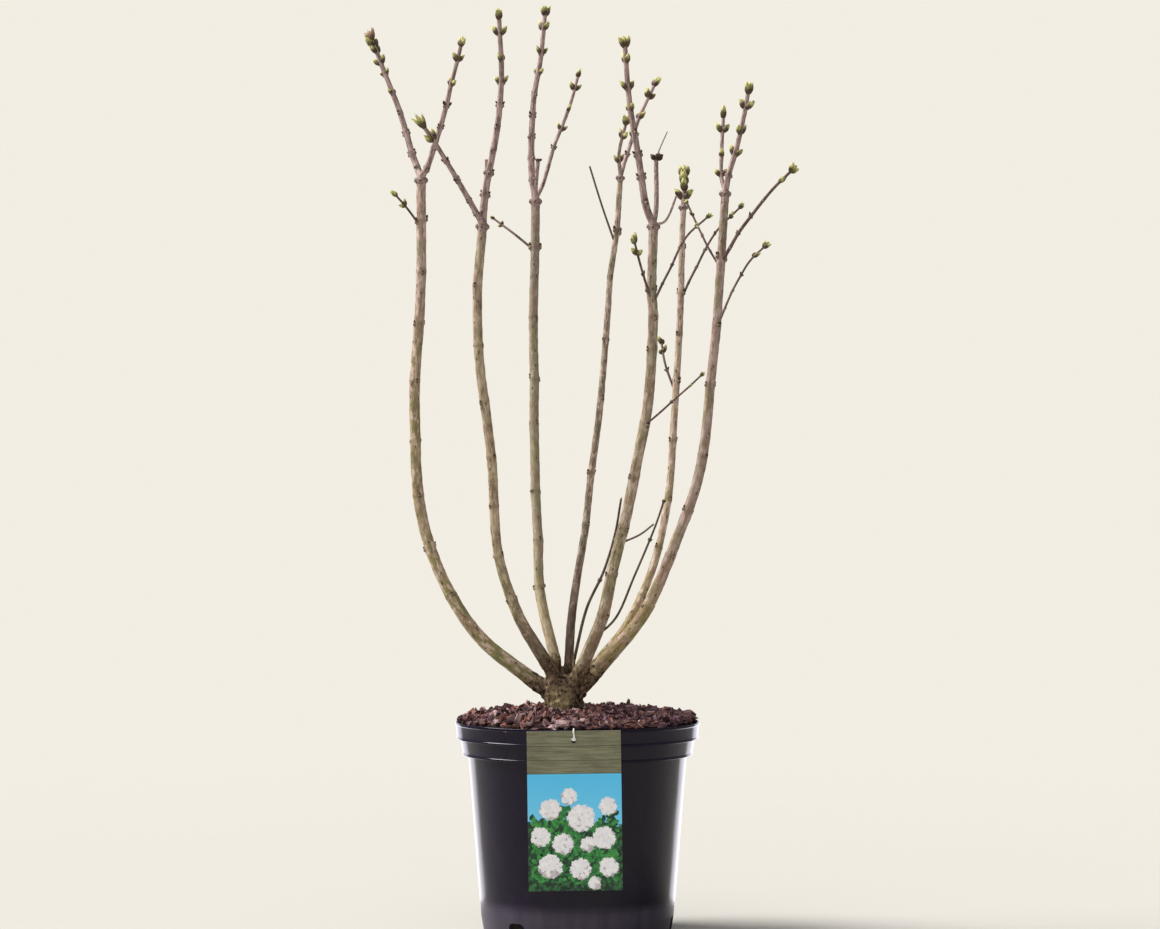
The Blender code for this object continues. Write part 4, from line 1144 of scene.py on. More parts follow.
class Buds:
    """Every bud, bark cushion and leaf scar of the plant, gathered by kind."""

    def __init__(self, settings):
        self.spray = Spray()
        self.spray.model("core", make_core())
        self.spray.model("outer", make_scale(0.5, 0.07, 0.0))
        self.spray.model("middle", make_scale(0.74, 0.05, 0.02))
        self.spray.model("inner", make_scale(0.92, 0.03, settings.flare * 0.3))
        self.spray.model("opening", make_scale(1.04, 0.02, settings.flare))
        self.spray.model("scar", make_scar())
        self.spray.model("cushion", make_cushion())

    def swelling(self, place, direction, width, length, draw, ruddy=False):
        """A swelling bud: a core in crossed pairs of scales, brown outside and green inside."""
        roll = draw.uniform(0, math.pi)
        self.spray.add("bud_cores", "core", grown_towards(place, direction, roll, width, length))
        inner = "bud_scales_green" if draw.random() < 0.72 else "bud_scales_olive"
        shapes = (("bud_scales_brown", "outer"), ("bud_scales_olive", "middle"),
                  (inner, "inner"), ("bud_scales_green", "opening"))
        if ruddy:
            shapes = [("bud_scales_ruddy", model) for _, model in shapes]
        for rank, (kind, model) in enumerate(shapes):
            for side in (0, 1):
                turn = roll + math.pi * side + rank * math.pi / 2 + draw.uniform(-0.12, 0.12)
                stretch = length * draw.uniform(0.92, 1.06)
                self.spray.add(kind, model, grown_towards(place, direction, turn, width, stretch))

    def dormant(self, place, direction, width, length, draw):
        """A small closed winter bud in two dark scales."""
        roll = draw.uniform(0, math.pi)
        self.spray.add("dormant_buds", "core", grown_towards(place, direction, roll, width, length))
        for side in (0, 1):
            turn = roll + math.pi * side
            self.spray.add("dormant_buds", "middle", grown_towards(place, direction, turn, width, length))

    def cushion(self, kind, centre, outwards, growth, size):
        """A bark cushion on one side of a joint, with a leaf scar on its face."""
        across = growth.cross(outwards).normalized()
        turn = Matrix((across, outwards, growth)).transposed().to_4x4()
        lump = Matrix.Diagonal((size, size, size, 1.0))
        self.spray.add(kind, "cushion", Matrix.Translation(centre) @ turn @ lump)
        scar = centre + outwards * size * 0.4 - growth * size * 0.22
        flat = Matrix.Diagonal((size * 0.55, size * 0.4, size * 0.6, 1.0))
        self.spray.add("leaf_scars", "scar", Matrix.Translation(scar) @ turn @ flat)


BUDS = {}


def shared_buds(context):
    """The buds of the whole plant, which every maker of wood adds to."""
    if "all" not in BUDS:
        BUDS["all"] = Buds(context.scene.lilac_buds)
    return BUDS["all"]


def side_of(line, mark, turn):
    """The direction away from a limb's axis at a mark, turned about its growth."""
    growth = line.along(mark)
    side = growth.orthogonal().normalized()
    side.rotate(Matrix.Rotation(turn, 3, growth))
    return side


def level_side(line, mark, turn):
    """The direction away from a limb's axis, turned from the viewer's right."""
    growth = line.along(mark)
    side = (Vector((1, 0, 0)) - growth * growth.x).normalized()
    side.rotate(Matrix.Rotation(turn, 3, growth))
    return side


def bud_marks(line, start, shoot, draw):
    """The bud pairs of a shoot by the seeded rule: mark, turn, and each bud's lean and size.

    Buds stand in opposite pairs, each pair turned a quarter from the last, and the pairs
    crowd together and grow towards the tip, which ends in a pair of large buds.
    """
    pairs = []
    turn = draw.uniform(0, math.pi)
    mark = line.length - TIP_ROOM
    size = shoot.buds
    spacing = BUD_SPACING
    while mark > start + ROOT_ROOM:
        if not pairs or draw.random() < shoot.fullness:
            sizes = []
            for _ in range(2):
                lean = draw.uniform(*BUD_LEANS)
                length = size * draw.uniform(*BUD_LENGTHS) * MM
                width = size * draw.uniform(*BUD_WIDTHS) * MM
                sizes.append((lean, length, width))
            pairs.append((mark, turn, sizes))
        turn += math.pi / 2
        size = max(size * BUD_SHRINK, shoot.buds * BUD_LEAST)
        mark -= spacing
        spacing = min(spacing * BUD_CROWDING, BUD_SPREAD)
    return pairs


def with_finer_pairs(pairs, start, shoot):
    """The rule's pairs, with one more half way between those far apart or crowded at the tip."""
    finer = []
    feet = [mark for mark, _, _ in pairs[1:]] + [start]
    for rank, ((mark, turn, sizes), foot) in enumerate(zip(pairs, feet)):
        finer.append((mark, turn, sizes))
        wide = mark - foot > 2 * BUD_SPACING and shoot.fullness == 1.0
        if wide or (shoot.crowded and rank < 2):
            finer.append(((mark + foot) / 2, turn + math.pi / 2, sizes))
    return finer


def grow_buds(line, start, shoot, root, tip, draw, buds):
    """Grows a shoot's buds, and gives the marks of its joints."""
    pairs = with_finer_pairs(bud_marks(line, start, shoot, draw), start, shoot)
    fine = random.Random(len(pairs) + int(line.length / MM))
    line.kink([mark for mark, _, _ in pairs[1:]], SHOOT_KINK, fine)
    span = line.length - start
    for rank, (mark, turn, sizes) in enumerate(pairs):
        growth = line.along(mark)
        side = side_of(line, mark, turn)
        radius = root + (tip - root) * (mark - start) / span
        fuller = BUD_FULLER[min(rank, len(BUD_FULLER) - 1)]
        for sign, (lean, length, width) in zip((-1, 1), sizes):
            outwards = side * sign
            length *= fuller
            width *= math.sqrt(fuller)
            if rank == 0:
                length *= TIP_BUD_LONGER * math.sqrt(shoot.tall)
                width *= TIP_BUD_NARROWER / shoot.tall ** 0.7
            more = TIP_BUD_LEAN if rank == 0 else SIDE_BUD_LEAN
            direction = (outwards + growth * (lean + more)).normalized()
            foot = line.at(mark) + outwards * radius * (TIP_BUD_OUT if rank == 0 else SIDE_BUD_OUT)
            if rank < shoot.live:
                ruddy = shoot.ruddy and rank == 0
                base = foot - direction * length * BUD_SUNK
                buds.swelling(base, direction, width, length * BUD_SHOWN, fine, ruddy)
            elif fine.random() < SHUT_BUD_SHARE:
                shut = SHUT_BUD_SIZE if shoot.live > 2 else SMALL_BUD_SIZE
                buds.dormant(foot, direction, width * shut, length * shut, fine)
            size = max(radius * CUSHION_GIRTH, CUSHION_LEAST)
            buds.cushion("shoot_cushions", foot - growth * size * CUSHION_DROP, outwards, growth, size)
    if span > END_BUD_SPAN:
        end = line.along(line.length)
        length = shoot.buds * END_BUD_LENGTH * shoot.tall * MM
        width = shoot.buds * END_BUD_WIDTH / math.sqrt(shoot.tall) * MM
        place = line.at(line.length) - end * length * (0.5 - BUD_PROUD)
        buds.swelling(place, end, width, length, fine, shoot.ruddy)
    return [mark for mark, _, _ in pairs[1:]]


def wither(line, radius, size, buds):
    """The dark remains of buds round the end of a stub that has died back."""
    draw = random.Random(int(line.length / MM))
    growth = line.along(line.length)
    for index in range(HEAD_BUDS):
        outwards = level_side(line, line.length, index * math.tau / HEAD_BUDS + draw.uniform(-0.3, 0.3))
        direction = (outwards + growth * draw.uniform(0.7, 2.0)).normalized()
        foot = line.at(line.length - 2.5 * MM) + outwards * radius * 0.7
        length = size * draw.uniform(0.75, 1.1) * MM
        buds.dormant(foot, direction, length * draw.uniform(0.58, 0.72), length, draw)


def grow_shoot(name, line, start, shoot, draw, buds, ring, swell):
    """The wood of a shoot from a mark to its tip, with its buds grown into the sprays."""
    root, tip = (thickness / 2 * MM for thickness in shoot.ends)
    span = line.length - start
    joints = grow_buds(line, start, shoot, root, tip, draw, buds) if shoot.buds else []
    if shoot.head:
        wither(line, tip, shoot.head, buds)
    for share in shoot.knobs:
        girth = root + (tip - root) * share
        for turn in RING_TURNS:
            outwards = level_side(line, span * share, turn)
            centre = line.at(span * share) + outwards * girth
            buds.cushion("shoot_cushions", centre, outwards, line.along(span * share), girth * 1.3)
    count = max(4, int(span / ring))
    # span was measured before the buds bent the line, and the marks keep to it
    marks = [start + span * step / count for step in range(count + 1)]

    def radius_at(mark):
        base = math.exp(-(mark - start) / ROOT_RUNOUT) * ROOT_SWELL
        return (root + (tip - root) * (mark - start) / span) * (1.0 + base)

    radii, nearness = swollen(marks, radius_at, joints, swell, spread=2.2 * MM)
    points = [line.at(mark) for mark in marks]
    wood = limb(name, points, radii, 12 if root > STOUT_SHOOT else 8)
    keep_nearness(wood, points, nearness)
    return wood


def uneven(obj, size, strength):
    """Gives a limb a soft unevenness."""
    texture = relief_texture(f"swell_{round(size / MM)}", "CLOUDS", size)
    return changed(obj, "DISPLACE", texture=texture, texture_coords="LOCAL", strength=strength,
                   mid_level=0.5)


def smoothed(obj, angle=40):
    """Shades a piece smooth, with its sharp edges kept."""
    pick(obj)
    bpy.ops.object.shade_smooth_by_angle(angle=math.radians(angle))
    return obj


class LilacOperator(bpy.types.Operator):
    """What the operators of this plant have in common."""

    bl_options = {"REGISTER", "UNDO"}


class LILAC_OT_stage(LilacOperator):
    """Set up the floor, the soft light and the camera."""

    bl_idname = "lilac.stage"
    bl_label = "Studio and camera"

    def execute(self, context):
        settings = context.scene.lilac_stage
        self.make_world(context, settings)
        self.make_floor(settings)
        self.make_lights(settings)
        self.make_camera(context)
        context.scene.view_settings.view_transform = "Standard"
        return {"FINISHED"}

    @staticmethod
    def make_world(context, settings):
        """Pale air that the camera sees, with its own strength as light."""
        world = bpy.data.worlds.new("studio_air")
        world.use_nodes = True
        nodes = world.node_tree.nodes
        links = world.node_tree.links
        seen = nodes["Background"]
        seen.inputs["Color"].default_value = full(settings.backdrop)
        light = nodes.new("ShaderNodeBackground")
        light.inputs["Color"].default_value = AIR_COLOUR
        light.inputs["Strength"].default_value = settings.ambient
        path = nodes.new("ShaderNodeLightPath")
        blend = nodes.new("ShaderNodeMixShader")
        links.new(path.outputs["Is Camera Ray"], blend.inputs[0])
        links.new(light.outputs[0], blend.inputs[1])
        links.new(seen.outputs[0], blend.inputs[2])
        links.new(blend.outputs[0], nodes["World Output"].inputs["Surface"])
        context.scene.world = world

    @staticmethod
    def make_floor(settings):
        """A wide pale floor under the pot."""
        floor = added(bpy.ops.mesh.primitive_circle_add, vertices=64, radius=FLOOR_FADE[1] + 0.1,
                      fill_type="NGON", location=(0, 0, -0.2 * MM))
        settled(floor)
        light = settings.ambient
        for strength, (_, elevation) in ((settings.key, KEY_FROM), (settings.fill, FILL_FROM)):
            light += strength * math.sin(math.radians(elevation)) / math.pi
        pale = shaded(settings.backdrop, 1 / light)
        paint = Paint("floor_paint", 0.9, specular=0.0)
        grain = paint.noise(paint.place(), 0.5, detail=2.0)
        away = paint.node("VectorMath", {"operation": "LENGTH"}, {0: paint.place()}, output=1)
        paint.feed(Base_Color=paint.mix(grain, shaded(pale, 0.99), pale))
        floor.data.materials.append(paint.feed(Alpha=1.0 - paint.fade(away, *FLOOR_FADE)))
        floor.name = "studio_floor"

    @staticmethod
    def make_lights(settings):
        """A soft key from the left, a wide fill from the front, and two mirrored panels."""
        suns = (("key_light", KEY_FROM, settings.key, KEY_SOFTNESS),
                ("fill_light", FILL_FROM, settings.fill, FILL_SOFTNESS))
        for name, (azimuth, elevation), strength, softness in suns:
            sun = added(bpy.ops.object.light_add, type="SUN")
            sun.name = name
            sun.rotation_euler = (math.radians(90 - elevation), 0, math.radians(azimuth))
            sun.data.energy = strength
            sun.data.angle = math.radians(softness)
        for name, side in (("left_panel", -1), ("right_panel", 1)):
            turn = math.radians(PANEL_FROM) * side
            place = Vector((math.sin(turn) * PANEL_AWAY, -math.cos(turn) * PANEL_AWAY, PANEL_SIZE[1] / 2))
            panel = added(bpy.ops.object.light_add, type="AREA", location=place)
            panel.name = name
            panel.data.shape = "RECTANGLE"
            panel.data.size, panel.data.size_y = PANEL_SIZE
            panel.data.energy = settings.rim * (1.0 if side < 0 else RIGHT_PANEL)
            panel.data.color = PANEL_COLOUR
            aim = Vector((0, 0, place.z)) - place
            panel.rotation_euler = aim.to_track_quat("-Z", "Y").to_euler()
            panel.visible_camera = False
            panel.visible_diffuse = False

    @staticmethod
    def make_camera(context):
        """A level camera where the photograph's stood."""
        camera = added(bpy.ops.object.camera_add, location=EYE, rotation=(math.pi / 2, 0, 0))
        camera.data.lens = LENS
        camera.data.sensor_width = SENSOR
        context.scene.camera = camera


def eased(corners):
    """A profile with rounded corners, each given as radius, height and rounding."""
    points = []
    for index, (radius, height, rounding) in enumerate(corners):
        here = Vector((radius, height))
        if not rounding:
            points.append(here)
            continue
        before = Vector(corners[index - 1][:2]) - here
        after = Vector(corners[index + 1][:2]) - here
        reach = min(rounding / math.tan(before.angle(after) / 2), before.length * 0.48, after.length * 0.48)
        start = here + before.normalized() * reach
        end = here + after.normalized() * reach
        for step in range(CORNER_STEPS + 1):
            share = step / CORNER_STEPS
            points.append(start.lerp(here, share).lerp(here.lerp(end, share), share))
    return points


def spun(profile, steps):
    """A turned piece: a profile drawn point by point, then spun about the pot's axis."""
    obj = added(bpy.ops.mesh.primitive_plane_add, size=MM)
    bpy.ops.object.mode_set(mode="EDIT")
    bpy.ops.mesh.select_all(action="SELECT")
    bpy.ops.mesh.merge(type="CENTER")
    bpy.ops.transform.translate(value=(profile[0].x, 0, profile[0].y))
    for one, other in zip(profile, profile[1:]):
        step = (other.x - one.x, 0, other.y - one.y)
        bpy.ops.mesh.extrude_region_move(TRANSFORM_OT_translate={"value": step})
    bpy.ops.mesh.select_all(action="SELECT")
    bpy.ops.mesh.spin(steps=steps, angle=math.tau, center=(0, 0, 0), axis=(0, 0, 1))
    bpy.ops.mesh.select_all(action="SELECT")
    bpy.ops.mesh.remove_doubles(threshold=1e-6)
    bpy.ops.mesh.normals_make_consistent(inside=False)
    bpy.ops.object.mode_set(mode="OBJECT")
    return obj


def cut_by(target, cutters):
    """Cuts each cutter out of a target, and removes the cutters."""
    for cutter in cutters:
        changed(target, "BOOLEAN", operation="DIFFERENCE", solver="EXACT", object=cutter)
        bpy.data.objects.remove(cutter, do_unlink=True)


class LILAC_OT_pot(LilacOperator):
    """Make the glossy nursery pot."""

    bl_idname = "lilac.pot"
    bl_label = "Nursery pot"

    def execute(self, context):
        settings = context.scene.lilac_pot
        pot = spun(eased(self.corners()), settings.steps)
        cut_by(pot, self.cutters())
        as_piece(smoothed(pot, 32), "pot_shell", pot_plastic(settings), "glossy_pot", "pot")
        return {"FINISHED"}

    @staticmethod
    def bead(radius, foot):
        """The rounded foot of a band, which stands a bead proud of it."""
        return [
            (radius, foot + 2.6 * MM, 1.5 * MM),
            (radius + BEAD, foot + 1.5 * MM, 1.0 * MM),
            (radius + BEAD, foot - 0.3 * MM, 0.9 * MM),
        ]

    def corners(self):
        """The pot's outline, from the middle of its floor up inside and down outside."""
        inside = RIM_RADIUS - WALL
        return [
            (0.0, FLOOR_TOP, 0),
            (FOOT_RADIUS - WALL, FLOOR_TOP, 5 * MM),
            (BODY_FOOT_RADIUS - WALL, BODY_FOOT_HEIGHT, 8 * MM),
            (BODY_TOP_RADIUS - WALL, LOWER_BAND_FOOT + WALL, 1.5 * MM),
            (LOWER_BAND_RADIUS - BAND_TAPER - WALL, LOWER_BAND_FOOT + WALL, 1.5 * MM),
            (LOWER_BAND_RADIUS - WALL, UPPER_BAND_FOOT + WALL, 1.5 * MM),
            (inside - BAND_DRAFT, UPPER_BAND_FOOT + WALL, 1.5 * MM),
            (inside, POT_HEIGHT - 2.4 * MM, 1.2 * MM),
            (inside - 0.2 * MM, POT_HEIGHT, 1.0 * MM),
            (RIM_RADIUS, POT_HEIGHT, 1.1 * MM),
            (RIM_RADIUS, POT_HEIGHT - 3 * MM, 0.8 * MM),
            (RIM_RADIUS - 0.8 * MM, POT_HEIGHT - 3.8 * MM, 0.8 * MM),
            *self.bead(RIM_RADIUS - BAND_DRAFT, UPPER_BAND_FOOT),
            (LOWER_BAND_RADIUS, UPPER_BAND_FOOT - 0.3 * MM, 1.2 * MM),
            *self.bead(LOWER_BAND_RADIUS - BAND_TAPER, LOWER_BAND_FOOT),
            (BODY_TOP_RADIUS, LOWER_BAND_FOOT - 0.3 * MM, 1.6 * MM),
            (BODY_FOOT_RADIUS, BODY_FOOT_HEIGHT, 14 * MM),
            (HEEL[0], HEEL[1], 5 * MM),
            (FOOT_RADIUS, 0.0, 0.6 * MM),
            (STANDING_RING_INNER, 0.0, 1.0 * MM),
            (STANDING_RING_INNER - RECESS_SLOPE, RECESS_HEIGHT, 1.0 * MM),
            (PAD_RADIUS + RECESS_SLOPE, RECESS_HEIGHT, 1.0 * MM),
            (PAD_RADIUS, 0.0, 0.6 * MM),
            (0.0, 0.0, 0),
        ]

    @staticmethod
    def cutters():
        """The blocks that cut the drain notches, and the rods that cut the drain holes."""
        made = []
        depth = 20 * MM
        below = 2 * MM
        height = NOTCH_HEIGHT + below
        for index in range(NOTCH_COUNT):
            turn = NOTCH_TURN + index * math.tau / NOTCH_COUNT
            middle = NOTCH_INNER + depth / 2
            block = added(bpy.ops.mesh.primitive_cube_add, size=1)
            block.scale = (NOTCH_WIDTH, depth, height)
            settled(block)
            for edge in block.data.edges:
                ends = [block.data.vertices[vert].co for vert in edge.vertices]
                edge.select = all(end.z > 0 for end in ends) and ends[0].x * ends[1].x > 0
            for face in block.data.polygons:
                face.select = False
            bpy.ops.object.mode_set(mode="EDIT")
            bpy.ops.mesh.select_mode(type="EDGE")
            bpy.ops.mesh.bevel(offset=NOTCH_CORNER, segments=6)
            bpy.ops.mesh.select_mode(type="VERT")
            bpy.ops.object.mode_set(mode="OBJECT")
            block.location = (math.sin(turn) * middle, -math.cos(turn) * middle, height / 2 - below)
            block.rotation_euler = (0, 0, turn)
            made.append(block)
        for index in range(DRAIN_COUNT):
            turn = index * math.tau / DRAIN_COUNT
            place = (math.sin(turn) * DRAIN_RING, -math.cos(turn) * DRAIN_RING, FLOOR_TOP)
            made.append(added(bpy.ops.mesh.primitive_cylinder_add, vertices=24, radius=DRAIN_RADIUS,
                              depth=depth, location=place))
        return made


class LILAC_OT_compost(LilacOperator):
    """Finish the compost that fills the pot."""

    bl_idname = "lilac.compost"
    bl_label = "Compost"

    def execute(self, context):
        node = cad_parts["potting_soil"]
        node.data.materials.clear()
        # Painted shade, in part: the compost is darkened past its own dark brown to stand for the shade
        # inside the pot's drain notches.
        finish = speckled("compost_crumb_with_painted_shade", colour(30, 23, 21), darker=0.45, size=4 * MM,
                          roughness=0.95, relief=1.2 * MM)
        node.data.materials.append(finish)
        return {"FINISHED"}


def mulch_height(radius):
    """The height of the mulch's surface at a distance from the pot's axis."""
    share = min(radius / MULCH_EDGE, 1.0)
    return MULCH_EDGE_HEIGHT + MULCH_DOME * (1 - share ** MULCH_DOME_POWER)


CHIP_TONES = {
    "bark_chips_rust": (colour(150, 102, 92), 0.22),
    "bark_chips_brown": (colour(120, 88, 84), 0.28),
    "bark_chips_dark": (colour(68, 47, 48), 0.22),
    "bark_chips_pink": (colour(180, 150, 146), 0.13),
    "bark_chips_plum": (colour(108, 80, 88), 0.15),
}


def make_chip(index):
    """A splintered chip of bark of unit length, one of several shapes."""
    obj = added(bpy.ops.mesh.primitive_cube_add, size=1)
    obj.scale = (1.0, 0.34 + 0.14 * (index % 3), 0.2 + 0.1 * (index % 2))
    settled(obj)
    edited(obj, (bpy.ops.mesh.subdivide, {"number_cuts": 1}),
           (bpy.ops.transform.vertex_random, {"offset": 0.22, "seed": index + 3}))
    for vert in obj.data.vertices:
        pinch = 1.0 - 0.38 * (abs(vert.co.x) * 2) ** 2
        vert.co.y *= pinch
        vert.co.z = vert.co.z * pinch + 0.12 * vert.co.x * vert.co.x * (1 if index % 2 else -1)
    return obj


class LILAC_OT_mulch(LilacOperator):
    """Lay the bed of shredded bark and strew the chips on it."""

    bl_idname = "lilac.mulch"
    bl_label = "Bark mulch"

    def execute(self, context):
        settings = context.scene.lilac_pot
        self.lay_bed()
        self.strew(settings)
        return {"FINISHED"}

    @staticmethod
    def lay_bed():
        """The dark bed under the chips, its colour partly the bark's own and partly painted shade in the
        gaps between the chips.
        """
        foot = SOIL_TOP + GAP
        profile = [Vector((0.0, mulch_height(0.0) - BED_SUNK))]
        for ring in range(1, BED_RINGS + 1):
            radius = MULCH_EDGE * ring / BED_RINGS
            profile.append(Vector((radius, mulch_height(radius) - BED_SUNK)))
        edge = Vector((MULCH_EDGE, MULCH_EDGE_HEIGHT - BED_SUNK))
        for drop in BED_EDGE_DROPS:
            profile.append(edge - Vector((drop * BED_EDGE_DRAFT * MM, drop * MM)))
        profile.append(Vector((LOWER_BAND_RADIUS - WALL - BED_FOOT_ROOM, foot)))
        profile.append(Vector((0.0, foot)))
        bed = spun(profile, 96)
        lumps = relief_texture("mulch_lumps", "CLOUDS", 9 * MM)
        top = bed.vertex_groups.new(name="top")
        top.add([vert.index for vert in bed.data.vertices if vert.co.z > edge.y - MM], 1.0, "REPLACE")
        changed(bed, "DISPLACE", texture=lumps, texture_coords="LOCAL", strength=5 * MM, mid_level=0.6,
                vertex_group="top")
        # Painted shade, in part: the bed is near black so that the gaps between the chips look shaded.
        finish = speckled("mulch_bed_bark", colour(44, 30, 30), darker=0.4, size=5 * MM, relief=2 * MM)
        as_piece(smoothed(bed, 60), "mulch_bed", finish, "bark_chips", "bark_mulch")

    @staticmethod
    def strew(settings):
        """Chips in several tones, dealt out over the bed and tilted every way."""
        draw = random.Random(CHIP_SEED)
        spray = Spray()
        for index in range(CHIP_SHAPES):
            spray.model(f"chip_{index}", make_chip(index))
        tones = list(CHIP_TONES)
        weights = [CHIP_TONES[tone][1] for tone in tones]
        for _ in range(settings.chips):
            radius = math.sqrt(draw.random()) * (MULCH_EDGE - 1 * MM)
            turn = draw.uniform(0, math.tau)
            x, y = math.sin(turn) * radius, -math.cos(turn) * radius
            length = settings.chip_length * draw.triangular(*CHIP_LENGTHS)
            if math.hypot(x - TRUNK_ACROSS, y) < CHIP_TRUNK_ROOM + length * 0.3:
                continue
            room = RIM_RADIUS - WALL - radius
            tilt = draw.gauss(0, CHIP_TILT if room > CHIP_RIM_ROOM else CHIP_TILT_AT_RIM)
            heading = draw.uniform(0, math.tau)
            if room < length * 0.5:
                heading = turn + draw.uniform(-0.35, 0.35)
            rise = draw.triangular(*CHIP_RISES) * MM
            place = Vector((x, y, mulch_height(radius) - CHIP_SUNK + rise))
            spin = Matrix.Rotation(heading, 4, "Z") @ Matrix.Rotation(math.radians(tilt), 4, "Y")
            roll = Matrix.Rotation(math.radians(draw.gauss(0, CHIP_ROLL)), 4, "X")
            width = length * draw.uniform(*CHIP_WIDTHS)
            size = Matrix.Diagonal((length, width, width * draw.uniform(*CHIP_THICKNESSES), 1.0))
            tone = draw.choices(tones, weights)[0]
            if x > PLUM_SIDE and draw.random() < PLUM_SHARE:
                tone = "bark_chips_plum"
            model = f"chip_{draw.randrange(CHIP_SHAPES)}"
            spray.add(tone, model, Matrix.Translation(place) @ spin @ roll @ size)
        for tone in tones:
            chips = spray.build(tone, smooth=False)
            shade = CHIP_TONES[tone][0]
            finish = speckled(tone + "_finish", shade, darker=0.5, size=2.6 * MM, roughness=0.85)
            as_piece(chips, tone, finish, "bark_chips")


